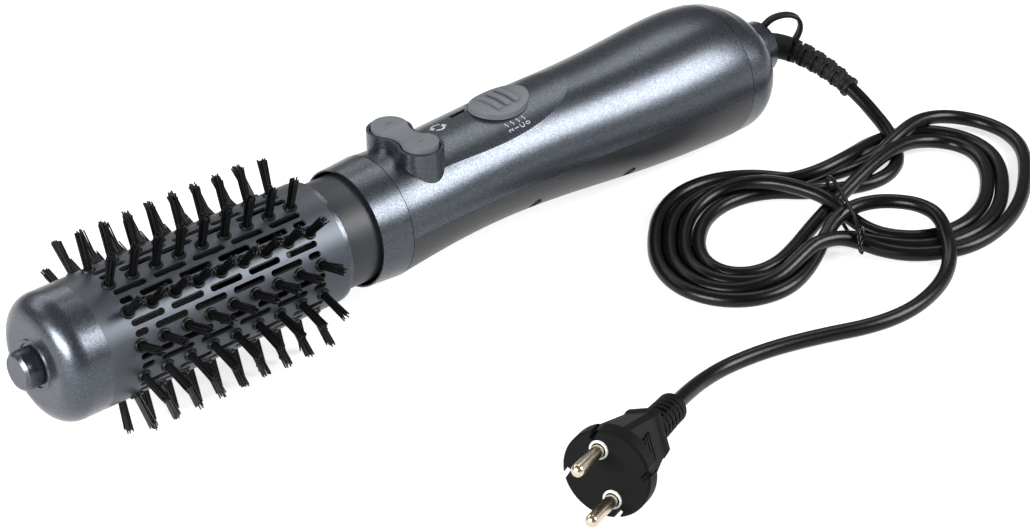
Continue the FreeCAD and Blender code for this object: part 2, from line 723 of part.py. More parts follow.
def make_upper_shell():
    """The handle's upper shell: thumb panel, rocker pedestal and the openings for switches."""
    scoop_start = d.rocker_x + 1.5
    outer = handle_form("upper_outside", 0.0, 1, half_gap, -2 * half_gap)
    inner = cut("upper_hollow", handle_form("upper_inside", d.shell_wall, 1, -2.0, 1.0),
                beyond_scoop("panel_back", -2.0, scoop_start - 2.0))
    half = cut("upper_half_wall", outer, inner)
    panel = cut("upper_with_panel", half, beyond_scoop("thumb_scoop", 0.0, scoop_start))
    lobe = (d.lobe_radius + d.rocker_gap).number
    waist = (d.waist_half + d.rocker_gap).number
    rim = d.pedestal_rim.number
    base_z = 10.0
    tower = shaped("pedestal_tower", peanut_solid(base_z, d.pedestal_top.number - base_z,
                                                  lobe + rim, waist + rim))
    core = handle_form("pedestal_core", d.shell_wall - 0.4, 1, -2.0, 1.0)
    pedestal = cut("pedestal", tower, core)
    cheeks = [block("pin_cheek_%d" % n, 3.5, 6.0, 3.4, (x, 0, d.rocker_pin_z - 3.0))
              for n, x in enumerate((d.rocker_x - 8.2, d.rocker_x + 4.7))]
    post_length = 7.2
    board_top = d.duct_radius + 0.3 + d.board_thickness
    posts = [rod("board_post_%d" % n, 1.8, post_length, (x, y, board_top), ALONG_Z)
             for n, (x, y) in enumerate([(175.0, -9.0), (175.0, 9.0), (208.0, -9.0), (208.0, 9.0)])]
    hollow = handle_form("upper_post_form", d.shell_wall - 0.5, 1, half_gap, 1.0)
    lugs = common("upper_lugs", gathered("upper_lug_rods", *screw_rods(
        "upper_lug", d.screw_post_radius, 30.0, 0.1)), hollow)
    solid = fuse("upper_solid", panel, pedestal, lugs, *(cheeks + posts))
    floor_z = well_floor()
    well = shaped("rocker_well", peanut_solid(floor_z.number, 10.0, lobe, waist))
    middle = block("hub_well", 9.4, 8.0, 10.0, (d.rocker_x - 4.7, 0, 18.0))
    holes = [rod("leg_hole_%d" % n, 2.3, 12.0, (d.rocker_x, y, 16.0), ALONG_Z)
             for n, y in enumerate((-d.rocker_leg_y, d.rocker_leg_y))]
    pin = rod("pivot_hole", d.rocker_pin_radius, 12.8, (d.rocker_x - 6.4, 0, d.rocker_pin_z))
    slot_length = d.slider_stem_length + d.slider_travel + 1.2
    slot_start = d.slider_x - d.slider_stem_length / 2 - d.slider_travel - 0.6
    stem_slot = block("stem_slot", slot_length, d.slider_stem_width + 0.8, 14,
                      (slot_start, 0, 18))
    guide_start = d.slider_x - d.slider_half_length - d.slider_travel + 1.5
    guide = block("guide_slot", d.slider_half_length + d.slider_travel,
                  d.guide_slot_width, 14, (guide_start, d.guide_slot_y, 18))
    holes += screw_rods("upper_screw_hole", d.screw_radius, 9.2, -1.0)
    keep(cut("upper_shell", solid, well, middle, pin, stem_slot, guide, *holes), "upper_shell")


def make_lower_shell():
    """The handle's plain lower shell."""
    outer = handle_form("lower_outside", 0.0, -1, -half_gap, -2 * half_gap)
    half = cut("lower_half_wall", outer,
               handle_form("lower_inside", d.shell_wall, -1, 2.0, 1.0))
    hollow = handle_form("lower_post_form", d.shell_wall - 0.5, -1, -half_gap, 1.0)
    posts = [tube("lower_post_%d" % n, d.screw_post_radius, d.screw_radius, 30.0,
                  (x, y, -30.1), ALONG_Z) for n, (x, y) in enumerate(SCREW_PLACES)]
    lugs = common("lower_lugs", gathered("lower_posts", *posts), hollow)
    solid = fuse("lower_solid", half, lugs)
    sinks = screw_rods("screw_sink", d.screw_head_radius + 0.2, 30.0, screw_seat - 30.0)
    keep(cut("lower_shell", solid, gathered("screw_sinks", *sinks)), "lower_shell")


def dome(name, inset):
    """The tail's round end, a short straight stretch and half a ball, drawn in by inset."""
    straight = d.tail_dome_length - d.tail_radius
    ball = doc.addObject("Part::Sphere", name + "_ball")
    ball.setExpression("Radius", (d.tail_radius - inset).formula)
    ball.Angle1 = 0
    place(ball, (tail_x + straight, 0, 0), ALONG_X)
    return fuse(name, ball, rod(name + "_straight", d.tail_radius - inset, straight,
                                (tail_x, 0, 0)))


def make_rear_cap():
    """The domed tail with the air intake underneath and the boss that holds the swivel."""
    wall = d.shell_wall + 0.2
    shell = cut("tail_dome", dome("dome_outside", 0.0), dome("dome_inside", wall))
    rim = d.tail_radius - wall
    spigot = tube("tail_spigot", rim, rim - 1.8, 7.0, (tail_x - 5.0, 0, 0))
    boss_start = tail_x + 20.0
    boss = turned("tail_boss", [
        (boss_start, 0), (boss_start, d.boss_radius), (boss_end_x - 0.8, d.boss_radius),
        (boss_end_x, d.boss_radius - 0.8), (boss_end_x, 0)])
    posts = []
    for number in range(3):
        post = rod("contact_post_%d" % number, 1.6, 20.8, (ring_stack_x - 1.6, 0, 14.0))
        posts.append(about_axis("contact_post_turned_%d" % number, post, 120.0 * number))
    solid = fuse("rear_cap_solid", shell, spigot, boss, *posts)
    bore = rod("swivel_bore", d.swivel_radius + d.running_gap, 40.0, (tail_x + 10.0, 0, 0))
    slits = [spoke("intake_slot_%d" % n, 15.0, d.grille_slot_width, 16.0, 34.0,
                   tail_x + 4.0, 180.0 + 11.0 * (n - 3)) for n in range(7)]
    keep(cut("rear_cap", solid, bore, *slits), "rear_cap")


def make_intake_screen():
    """The fine metal screen behind the intake slots."""
    wall = d.shell_wall + 0.2
    screen = cut("screen_dome", dome("screen_outside", wall + 0.2),
                 dome("screen_inside", wall + 0.8))
    sector = block("screen_sector", 12.0, 34.0, 16.0, (tail_x + 6.0, 0, -32.0))
    keep(common("intake_screen", screen, sector), "intake_screen")


# ---------------------------------------------------------------- controls

def make_rocker():
    """The two-way rocker that chooses the turning direction."""
    bottom = well_floor() + d.rocker_lift
    height = d.rocker_top - bottom
    slab = shaped("rocker_slab", peanut_solid(bottom.number, height.number,
                                              d.lobe_radius.number, d.waist_half.number))
    dish_radius = 34.0
    dish_z = d.rocker_top.number - 0.7 + dish_radius
    dish = rod("rocker_dish", dish_radius, 30.0, (d.rocker_x - 15.0, 0, dish_z))
    hub = block("rocker_hub", 8.6, 5.2, bottom - d.rocker_pin_z + 3.0,
                (d.rocker_x - 4.3, 0, d.rocker_pin_z - 2.5))
    legs = [rod("rocker_leg_%d" % n, 1.5, bottom - leg_end() + 0.5,
                (d.rocker_x, y, leg_end()), ALONG_Z)
            for n, y in enumerate((-d.rocker_leg_y, d.rocker_leg_y))]
    solid = cut("rocker_solid", fuse("rocker_parts", slab, hub, *legs), dish)
    bore = rod("rocker_bore", d.rocker_pin_radius + d.running_gap, 12.0,
               (d.rocker_x - 6.0, 0, d.rocker_pin_z))
    keep(cut("rocker", solid, bore), "rocker")


def board_level():
    """Height of the control board's top face, just over the heater duct."""
    return d.duct_radius + 0.3 + d.board_thickness


def leg_end():
    """Height of the rocker's feet at rest, over the two switches."""
    return board_level() + d.switch_height + 0.8


def make_rocker_pin():
    """The steel pivot pin of the rocker, held in the shell on both sides."""
    keep(rod("rocker_pin", d.rocker_pin_radius, 12.8, (d.rocker_x - 6.4, 0, d.rocker_pin_z)),
         "rocker_pin")


def make_rocker_switches():
    """Two push switches under the rocker's feet."""
    bodies = [block("push_switch_%d" % n, 6.0, 6.0, d.switch_height,
                    (d.rocker_x - 3.0, y, board_level()))
              for n, y in enumerate((-d.rocker_leg_y, d.rocker_leg_y))]
    keep(gathered("rocker_switches", *bodies), "rocker_switches")


def make_control_board():
    """The circuit board under the controls."""
    board = block("board_plate", d.board_end - d.board_start, d.board_width,
                  d.board_thickness, (d.board_start, 0, d.duct_radius + 0.3))
    keep(board, "control_board")


def make_slide_switch():
    """The heat and air switch on the board, open on top for the knob's stem."""
    middle = d.slider_x - d.slider_travel / 2
    length = d.slider_stem_length + d.slider_travel + 6.0
    case = block("switch_case", length, 9.0, d.switch_height,
                 (middle - length / 2, 0, board_level()))
    travel = d.slider_stem_length + d.slider_travel + 1.0
    slot = block("switch_slot", travel, d.slider_stem_width + 0.8, d.switch_height,
                 (middle - travel / 2, 0, board_level() + 2.0))
    keep(cut("slide_switch", case, slot), "slide_switch")


def oval(name, half_length, half_width, height, at):
    """An upright prism on an oval that is long along the brush."""
    ring = doc.addObject("Part::Ellipse", name + "_outline")
    ring.setExpression("MajorRadius", as_size(half_length).formula)
    ring.setExpression("MinorRadius", as_size(half_width).formula)
    place(ring, at)
    prism = doc.addObject("Part::Extrusion", name)
    prism.Base = ring
    prism.DirMode = "Custom"
    prism.Dir = FreeCAD.Vector(0, 0, 1)
    prism.setExpression("LengthFwd", as_size(height).formula)
    prism.Solid = True
    return prism


def make_slide_knob():
    """The oval slide knob: its faces follow the thumb panel, with three grip ribs."""
    prism = oval("knob_prism", d.slider_half_length, d.slider_half_width, 12,
                 (d.slider_x, 0, 20))
    low = common("knob_low", prism, scoop_cylinder("knob_top_form", d.slider_height))
    plate = cut("knob_plate", low, scoop_cylinder("knob_under_form", 0.3))
    ribs = []
    for number in range(3):
        x = d.slider_x + (number - 1) * 4.6 - 1.1
        bar = block("knob_rib_bar_%d" % number, 2.2, 13.0, 8.0, (x, 0, 24.5))
        form = scoop_cylinder("knob_rib_form_%d" % number, d.slider_height + 0.9)
        ribs.append(common("knob_rib_%d" % number, bar, form))
    stem_z = board_level() + 2.4
    stem = block("knob_stem", d.slider_stem_length, d.slider_stem_width,
                 as_size(crown_at(d.slider_x) + 1.2) - stem_z,
                 (d.slider_x - d.slider_stem_length / 2, 0, stem_z))
    tab = block("knob_tab", 4.0, d.guide_slot_width - 0.6, 5.4,
                (d.slider_x - 11.0, d.guide_slot_y, 21.0))
    ribbed = cut("knob_ribbed", fuse("knob_ribs", plate, *ribs),
                 scoop_cylinder("knob_clearance", 0.3))
    keep(fuse("slide_knob", ribbed, stem, tab), "slide_knob")


def make_slider_catch():
    """The catch plate clipped on the knob's stem under the shell."""
    plate = block("catch_plate", 13.0, 9.0, 1.2, (d.slider_x - 6.5, 0, 21.6))
    hole = block("catch_hole", d.slider_stem_length, d.slider_stem_width, 4.0,
                 (d.slider_x - d.slider_stem_length / 2, 0, 20.0))
    keep(cut("slider_catch", plate, hole), "slider_catch")


# ---------------------------------------------------------------- heater, motors and fan

duct_start = seam_x - 3.0
duct_end = d.gear_motor_x - 3.0


def make_heater_duct():
    """The steel-lined duct that keeps the hot air off the handle's shells."""
    duct = tube("heater_duct", d.duct_radius, d.duct_radius - 0.8, duct_end - duct_start,
                (duct_start, 0, 0))
    keep(duct, "heater_duct")


def coil_ring(name, radius, length, x):
    """A hexagonal ring with its corners on the heater's six boards."""
    piece = doc.addObject("Part::Prism", name)
    piece.Polygon = 6
    piece.setExpression("Circumradius", as_size(radius).formula)
    piece.setExpression("Height", as_size(length).formula)
    return place(piece, (x, 0, 0), ALONG_X)


def coil(name, outer, inner, length, x):
    """One turn of the heating wire's coil, or the notch for it."""
    return cut(name, coil_ring(name + "_outer", outer, length, x),
               coil_ring(name + "_inner", inner, length + 2, x - 1))


COIL_COUNT = 6
coil_pitch = d.heater_length / COIL_COUNT


def make_heater_frame():
    """Six mica boards around the shaft's tube, notched for the heating wire."""
    boards = spokes("mica_board", 6, d.heater_length, 0.8, 4.4, d.duct_radius - 1.0,
                    d.heater_x)
    sleeve = tube("mica_tube", 4.6, 3.6, d.heater_length, (d.heater_x, 0, 0))
    notches = []
    for number in range(COIL_COUNT):
        x = d.heater_x + coil_pitch * (number + 0.5) - 1.0
        notches.append(coil("mica_notch_%d" % number, d.duct_radius + 2.0,
                            d.duct_radius - 3.3, 2.0, x))
    solid = fuse("heater_frame_solid", sleeve, *boards)
    keep(cut("heater_frame", solid, *notches), "heater_frame")


def make_heater_coils():
    """The turns of the heating wire."""
    rings = []
    for number in range(COIL_COUNT):
        x = d.heater_x + coil_pitch * (number + 0.5) - 0.8
        rings.append(coil("heater_coil_%d" % number, d.duct_radius - 1.6,
                          d.duct_radius - 3.2, 1.6, x))
    keep(gathered("heater_coils", *rings), "heater_coils")


def make_thermal_cutout():
    """The thermostat between two boards of the heater."""
    keep(spoke("thermal_cutout", 8.0, 3.4, 4.7, 8.2, d.heater_x + 19.0, 30.0),
         "thermal_cutout")


def make_gear_motor():
    """The small geared motor that turns the brush head."""
    x = d.gear_motor_x
    case = rod("gear_motor_case", d.gear_motor_radius, d.gear_motor_length, (x, 0, 0))
    nose = rod("gear_motor_nose", 5.0, 2.0, (x - 2.0, 0, 0))
    flats = block("gear_motor_flats", d.gear_motor_length - 12.0, 15.0, 30.0,
                  (x + 12.0, 0, -15.0))
    front = rod("gear_motor_front", d.gear_motor_radius + 1, 14.0, (x - 2.0, 0, 0))
    form = common("gear_motor_form", fuse("gear_motor_body", case, nose),
                  fuse("gear_motor_bounds", flats, front))
    bore = rod("gear_motor_bore", d.shaft_radius + d.running_gap, 10.0, (x - 3.0, 0, 0))
    keep(cut("gear_motor", form, bore), "gear_motor")


def make_motor_mount():
    """The spider that holds the duct's rear end and the gear motor."""
    length = 3.0
    x = duct_end
    radius, rise = section_at(x)
    wall = d.shell_wall.number
    ring = tube("mount_ring", radius - wall - 0.4, radius - wall - 3.0, length, (x, 0, rise))
    socket = tube("mount_socket", d.duct_radius + 2.0, d.duct_radius + 0.1, 5.0,
                  (x - 5.0, 0, 0))
    cup = tube("mount_cup", d.gear_motor_radius + 2.0, d.gear_motor_radius + 0.1, 9.0,
               (x + 3.0, 0, 0))
    plate = tube("mount_plate", d.duct_radius + 2.0, 5.2, length, (x, 0, 0))
    arms = spokes("mount_arm", 4, length, 2.6, d.gear_motor_radius + 1.0,
                  radius - wall - 2.0, x, 45.0)
    solid = fuse("motor_mount_solid", ring, socket, cup, plate, *arms)
    below = cut("motor_mount_free", solid, beyond_scoop("mount_scoop", -2.4, x - 10.0))
    keep(below, "motor_mount")


def make_fan_shroud():
    """The ring around the fan, with the vanes and the cup that carry its motor."""
    start = d.fan_x - 5.0
    ring = tube("shroud_ring", d.shroud_radius, d.fan_radius + 0.9, d.fan_length + 8.0,
                (start, 0, 0))
    rim = d.tail_radius - d.shell_wall - 0.7
    flange = tube("shroud_flange", rim, d.fan_radius + 0.9, 2.4,
                  (start + d.fan_length + 5.6, 0, 0))
    cup = tube("motor_cup", d.fan_motor_radius + 2.0, d.fan_motor_radius + 0.1, 18.0,
               (start - 16.0, 0, 0))
    vanes = spokes("shroud_vane", 5, 12.0, 1.6, d.fan_motor_radius + 1.0,
                   d.fan_radius + 1.6, start - 10.0)
    rear = tube("shroud_rear", d.shroud_radius, d.fan_radius + 0.9, 12.0, (start - 10.0, 0, 0))
    keep(fuse("fan_shroud", ring, flange, cup, rear, *vanes), "fan_shroud")


def make_fan_motor():
    """The motor that drives the fan."""
    x = d.fan_motor_x
    case = rod("fan_motor_case", d.fan_motor_radius, d.fan_motor_length, (x, 0, 0))
    boss = rod("fan_motor_boss", 4.0, 1.6, (x + d.fan_motor_length, 0, 0))
    end = rod("fan_motor_end", 4.0, 2.0, (x - 2.0, 0, 0))
    bore = rod("fan_motor_bore", fan_shaft_radius + d.running_gap, 12.0,
               (x + d.fan_motor_length - 8.0, 0, 0))
    keep(cut("fan_motor", fuse("fan_motor_solid", case, boss, end), bore), "fan_motor")


fan_shaft_radius = as_size(1.5)


def make_fan_shaft():
    """The fan motor's shaft."""
    start = d.fan_motor_x + d.fan_motor_length - 7.0
    keep(rod("fan_shaft", fan_shaft_radius, d.fan_x + d.fan_length - start, (start, 0, 0)),
         "fan_shaft")


def make_fan_impeller():
    """The axial fan: a hub with seven pitched blades."""
    hub = rod("fan_hub", 7.5, d.fan_length, (d.fan_x, 0, 0))
    blades = []
    pitch = FreeCAD.Rotation(FreeCAD.Vector(0, 0, 1), 38)
    middle = FreeCAD.Vector(d.fan_x.number + d.fan_length.number / 2, 0, 0)
    for number in range(7):
        bar = block("fan_blade_bar_%d" % number, d.fan_length, 1.2, d.fan_radius - 7.0,
                    (-d.fan_length / 2, 0, 6.5))
        pitched = gathered("fan_blade_pitched_%d" % number, bar)
        pitched.Placement = FreeCAD.Placement(middle, pitch)
        blades.append(about_axis("fan_blade_%d" % number, pitched, 360.0 / 7 * number))
    solid = fuse("fan_solid", hub, *blades)
    bore = rod("fan_bore", fan_shaft_radius, d.fan_length + 2, (d.fan_x - 1, 0, 0))
    keep(cut("fan_impeller", solid, bore), "fan_impeller")


# ---------------------------------------------------------------- shell screws and swivel

def make_shell_screws():
    """The four screws that hold the lower shell to the upper one, heads underneath."""
    shanks = screw_rods("screw_shank", d.screw_radius, 15.0, screw_seat)
    heads = screw_rods("screw_head", d.screw_head_radius, 2.0, screw_seat - 2.0)
    screws = [fuse("screw_%d" % n, shank, head)
              for n, (shank, head) in enumerate(zip(shanks, heads))]
    keep(gathered("shell_screws", *screws), "shell_screws")


swivel_flange_x = boss_root_x - d.tail_dome_length * 0.9 + 16.0
ring_stack_x = swivel_flange_x - 9.0


def make_swivel_core():
    """The cord's swivel: a flanged shaft through the boss, with a stub for the slip rings."""
    flange_end = swivel_flange_x + 3.7
    shaft_end = boss_end_x + 0.4
    core = turned("swivel_core", [
        (ring_stack_x - 5.0, 0), (ring_stack_x - 5.0, 5.0), (swivel_flange_x, 5.0),
        (swivel_flange_x, 10.0), (flange_end, 10.0), (flange_end, d.swivel_radius),
        (shaft_end, d.swivel_radius), (shaft_end, 0)])
    keep(core, "swivel_core")


def make_slip_rings():
    """The two brass rings on the swivel that take the mains current."""
    rings = [tube("slip_ring_%d" % n, 6.2, 5.0, 1.8, (ring_stack_x + 3.2 * n, 0, 0))
             for n in range(2)]
    keep(gathered("slip_rings", *rings), "slip_rings")


def make_contact_board():
    """The board that carries the brushes of the slip rings, on the cap's three posts."""
    board = tube("contact_disc", 16.0, 7.4, 1.4, (ring_stack_x - 3.0, 0, 0))
    keep(board, "contact_board")


def make_swivel_contacts():
    """The two spring contacts that run on the slip rings."""
    contacts = []
    for number in range(2):
        reach = 1.6 + 1.8 + 3.2 * number
        contacts.append(spoke("swivel_contact_%d" % number, reach, 3.0, 6.4, 9.0,
                              ring_stack_x - 1.6, 180.0 * number + 90.0))
    keep(gathered("swivel_contacts", *contacts), "swivel_contacts")


# ---------------------------------------------------------------- cord

def rounded_path(points, share=0.45):
    """Straight runs joined by tangent arcs, each as large as its two runs allow."""
    vectors = [FreeCAD.Vector(*point) for point in points]
    edges = []
    start = vectors[0]
    for before, corner, after in zip(vectors, vectors[1:], vectors[2:]):
        first = (corner - before).normalize()
        second = (after - corner).normalize()
        turn = first.getAngle(second)
        setback = share * min((corner - before).Length, (after - corner).Length)
        radius = setback / math.tan(turn / 2)
        ARC_RADII.append(radius)
        arc_start = corner - first * setback
        arc_end = corner + second * setback
        inward = (second - first).normalize()
        centre = corner + inward * (radius / math.cos(turn / 2))
        middle = centre - inward * radius
        edges.append(Part.LineSegment(start, arc_start).toShape())
        edges.append(Part.Arc(arc_start, middle, arc_end).toShape())
        start = arc_end
    edges.append(Part.LineSegment(start, vectors[-1]).toShape())
    return Part.Wire(edges)


ARC_RADII = []


ELBOW_LENGTH = 6.0
ELBOW_END = FreeCAD.Vector(boss_end_x.number + 10.6, -6.5, -0.8)
LOOP_TURN = -32.0


def make_hang_loop():
    """The cord's root, an elbow that turns sideways, with the hanging loop moulded on top."""
    start = FreeCAD.Vector(boss_end_x.number + 0.4, 0, 0)
    corner = start + FreeCAD.Vector(ELBOW_LENGTH, 0, 0)
    path = rounded_path([start, corner, ELBOW_END], 0.95)
    del ARC_RADII[:]
    radius = d.relief_root_radius
    section = Part.Wire([Part.makeCircle(radius.number, start, FreeCAD.Vector(1, 0, 0))])
    elbow = shaped("loop_elbow", path.makePipeShell([section], True, False))
    top = radius + 9.0
    body = doc.addObject("PartDesign::Body", "loop_plate")
    sketch = outline(body, "loop_outline", "XZ_Plane", [
        (1.0, radius - 1.5), (1.0, radius + 1.4), (4.2, top), (13.0, top),
        (14.8, top - 2.0), (13.8, radius + 0.6), (11.6, radius - 1.4), (9.0, radius - 2.5)])
    pad = body.newObject("PartDesign::Pad", "loop_pad")
    pad.Profile = sketch
    pad.setExpression("Length", d.loop_plate.formula)
    pad.Midplane = True
    eye = outline(body, "loop_eye", "XZ_Plane", [
        (2.8, radius + 1.4), (5.2, top - 1.7), (12.4, top - 1.7), (13.0, top - 2.6),
        (12.2, radius + 1.4)])
    pocket = body.newObject("PartDesign::Pocket", "loop_pocket")
    pocket.Profile = eye
    pocket.Length = 20
    pocket.Midplane = True
    body.Tip = pocket
    turned_plate = gathered("loop_turned", body)
    turned_plate.Placement = FreeCAD.Placement(start, FreeCAD.Rotation(
        FreeCAD.Vector(0, 0, 1), LOOP_TURN))
    keep(fuse("hang_loop", elbow, turned_plate), "hang_loop")


def cord_tube(label, points):
    """A round cord along its route; prints its radii and compares its volume."""
    path = rounded_path(points)
    start = FreeCAD.Vector(*points[0])
    direction = FreeCAD.Vector(*points[1]) - start
    radius = d.cord_radius.number
    section = Part.Wire([Part.makeCircle(radius, start, direction)])
    solid = path.makePipeShell([section], True, False)
    expected = math.pi * radius ** 2 * path.Length
    print("%s: length %.1f, smallest radius %.1f, volume ratio %.4f" % (
        label, path.Length, min(ARC_RADII), solid.Volume / expected))
    del ARC_RADII[:]
    keep(shaped(label, solid), label, placed=False)
    return path


def shifted(point, by):
    """A point moved by an offset."""
    return tuple(a + b for a, b in zip(point, by))


# The relief's route: on from the elbow, sideways and down towards the floor.
LOOP_END = tuple(lie_down.multVec(ELBOW_END))
RELIEF_ROUTE = [
    LOOP_END,
    shifted(LOOP_END, (5.8, -9.0, -1.35)),
    shifted(LOOP_END, (7.2, -31.0, -7.6)),
    shifted(LOOP_END, (3.0, -54.5, -15.4)),
]
LEAD_ROUTE = [
    RELIEF_ROUTE[-1],
    shifted(RELIEF_ROUTE[-1], (-1.8, -8.5, -3.0)),
    shifted(RELIEF_ROUTE[-1], (-4.2, -17.5, -5.6)),
    shifted(RELIEF_ROUTE[-1], (-8.0, -26.5, -7.2)),
]


def make_strain_relief():
    """The ribbed strain relief, a thin core with rings that get smaller along the bend."""
    path = rounded_path(RELIEF_ROUTE)
    del ARC_RADII[:]
    core_radius = (d.cord_radius + d.relief_wall).number
    start = FreeCAD.Vector(*RELIEF_ROUTE[0])
    direction = FreeCAD.Vector(*RELIEF_ROUTE[1]) - start
    section = Part.Wire([Part.makeCircle(core_radius, start, direction)])
    core = path.makePipeShell([section], True, False)
    bounds = [0.0]
    for edge in path.Edges:
        bounds.append(bounds[-1] + edge.Length)
    rib_count = 11
    pitch = path.Length / rib_count
    ribs = []
    for number in range(rib_count):
        along = pitch * number
        index = max(n for n in range(len(path.Edges)) if bounds[n] <= along + 1e-9)
        edge = path.Edges[index]
        spot = edge.getParameterByLength(along - bounds[index])
        at = edge.valueAt(spot)
        tangent = edge.tangentAt(spot)
        share = number / (rib_count - 1.0)
        radius = d.relief_root_radius.number * (1 - share)
        radius += d.relief_end_radius.number * share
        width = pitch * (0.62 if number < rib_count - 1 else 0.85)
        ribs.append(Part.makeCylinder(radius, width, at, tangent))
    solid = core.multiFuse(ribs).removeSplitter()
    keep(shaped("strain_relief", solid), "strain_relief", placed=False)


def make_cord_lead():
    """The cord from the strain relief down to the hank."""
    cord_tube("cord_lead", LEAD_ROUTE)


# Slab outlines of the tied hank's two lobes: centre x and y, half length, half width, turn.
HANK_LOBES = [(101.0, -79.0, 61.0, 44.0, 20.0), (198.0, -103.0, 66.0, 37.0, 8.0)]


def make_cord_hank():
    """The outer shape of the hank: two flat overlapping lobes, tied between them."""
    lobes = []
    height = d.hank_height.number
    for x, y, half_length, half_width, angle in HANK_LOBES:
        centre = FreeCAD.Vector(x, y, 0)
        ring = Part.Ellipse(FreeCAD.Vector(0, 0, 0), half_length, half_width).toShape()
        ring.rotate(FreeCAD.Vector(0, 0, 0), FreeCAD.Vector(0, 0, 1), angle)
        ring.translate(centre)
        lobes.append(Part.Face(Part.Wire([ring])).extrude(FreeCAD.Vector(0, 0, height)))
    keep(shaped("cord_hank", lobes[0].fuse(lobes[1]).removeSplitter()), "cord_hank",
         placed=False)


def make_cord_tie():
    """The twisted wire tie around the hank's waist."""
    tie = Part.makeCylinder(0.9, 26.0, FreeCAD.Vector(151.0, -82.0, d.hank_height.number + 1.0),
                            FreeCAD.Vector(0.35, -1, 0))
    keep(shaped("cord_tie", tie), "cord_tie", placed=False)


PLUG_FACE = (-63.0, -168.0, 19.9)
PLUG_AXIS = (-0.922, -0.354, 0.157)
PLUG_PIN_LINE = (-0.2, 0.26, 0.94)


def plug_frame():
    """The plug's placement: +X out of its face along the pins, +Z along the line of pins."""
    axis = FreeCAD.Vector(*PLUG_AXIS).normalize()
    line = FreeCAD.Vector(*PLUG_PIN_LINE)
    line = (line - axis * line.dot(axis)).normalize()
    turn = FreeCAD.Rotation(axis, line.cross(axis), line, "XZY")
    return FreeCAD.Placement(FreeCAD.Vector(*PLUG_FACE), turn)


plug_place = plug_frame()


def keep_plug(piece, label):
    """Register one of the plug's pieces where the plug lies."""
    piece = movable(piece, label)
    piece.Placement = plug_place.multiply(piece.Placement)
    keep(piece, label, placed=False)


plug_rear = d.plug_body_length + d.plug_relief_length
PLUG_REAR = tuple(plug_place.multVec(FreeCAD.Vector(-plug_rear.number, 0, 0)))
PLUG_BACK = tuple(plug_place.multVec(FreeCAD.Vector(-plug_rear.number - 13.0, 0, 0)))
TAIL_ROUTE = [
    (156.5, -131.5, 5.0),
    (148.5, -142.5, 3.6),
    (138.0, -153.5, 3.2),
    (124.5, -162.5, 3.2),
    (108.0, -167.5, 3.2),
    (90.5, -162.5, 3.2),
    (71.5, -152.0, 3.2),
    (51.5, -143.5, 3.2),
    (32.5, -138.8, 3.4),
    (17.5, -138.6, 5.0),
    PLUG_BACK,
    PLUG_REAR,
]


def make_cord_tail():
    """The cord from the hank to the plug."""
    cord_tube("cord_tail", TAIL_ROUTE)


# The grip's finger grooves on both flat sides, counted from the flange back.
GROOVE_COUNT = 7
GROOVE_FIRST = -12.0
GROOVE_PITCH = -2.8
GROOVE_WIDTH = 1.1
GROOVE_DEPTH = 0.7


def rectangle(x, half_width, half_height):
    """A rectangle across the plug at x."""
    corners = [(half_width, half_height), (-half_width, half_height),
               (-half_width, -half_height), (half_width, -half_height)]
    points = [FreeCAD.Vector(x, y, z) for y, z in corners]
    return Part.makePolygon(points + points[:1])


def make_plug_body():
    """The moulded plug: eared flange, tapered grooved grip with shoulders, ringed relief."""
    depth = d.plug_flange_depth
    disc = rod("plug_disc", d.plug_flange_radius, depth, (-depth, 0, 0))
    bounds = block("plug_bounds", depth, d.plug_flange_width, 60, (-depth, 0, -30))
    flange = common("plug_flange", disc, bounds)
    notches = []
    for name, y in (("left", -1), ("right", 1)):
        for end, z in (("low", -1), ("high", 1)):
            notches.append(block("plug_notch_%s_%s" % (name, end), depth + 2, 8.0, 2.6,
                                 (-depth - 1, 13.0 * y, 12.6 * z - 1.3)))
    eared = cut("plug_eared", flange, *notches)
    front = 2.0 - depth.number
    back = -d.plug_body_length.number
    sections = [rectangle(front, 10.5, 11.6), rectangle(back, 6.8, 7.6)]
    grip = shaped("plug_grip", Part.makeLoft(sections, True, True))
    shoulder = block("plug_shoulder", 3.0, 15.2, 17.6, (back, 0, -8.8))
    grooves = []
    for number in range(GROOVE_COUNT):
        x = GROOVE_FIRST + GROOVE_PITCH * number
        half_width = 10.5 + (6.8 - 10.5) * (x - front) / (back - front)
        for side in (-1, 1):
            middle = side * (half_width - GROOVE_DEPTH + 2.0)
            grooves.append(block("plug_groove_%d_%d" % (number, side), GROOVE_WIDTH, 4.0, 12.0,
                                 (x - GROOVE_WIDTH / 2, middle, -6.0)))
    handle = cut("plug_handle", fuse("plug_grip_solid", grip, shoulder), *grooves)
    relief = rod("plug_relief", d.cord_radius + 2.3, d.plug_relief_length + 2, (-plug_rear, 0, 0))
    collar = turned("plug_relief_end", [
        (-plug_rear, 0), (-plug_rear, 4.6), (-plug_rear + 1.4, 6.2), (-plug_rear + 4.0, 6.2),
        (-plug_rear + 4.0, 0)])
    rings = [rod("plug_ring_%d" % n, 6.2, 2.4, (-d.plug_body_length - 1.2 - 4.2 * (n + 1), 0, 0))
             for n in range(3)]
    solid = fuse("plug_solid", eared, handle, relief, collar, *rings)
    bores = [rod("plug_socket_%d" % n, d.pin_collar_radius, 4.0, (-2.0, 0, z))
             for n, z in enumerate((-d.pin_spacing / 2, d.pin_spacing / 2))]
    keep_plug(cut("plug_body", solid, *bores), "plug_body")


# The pins' roots sit this deep in the plug, and their collars stand this far out of its face.
PIN_SEAT = 2.0
COLLAR_STAND = 0.5


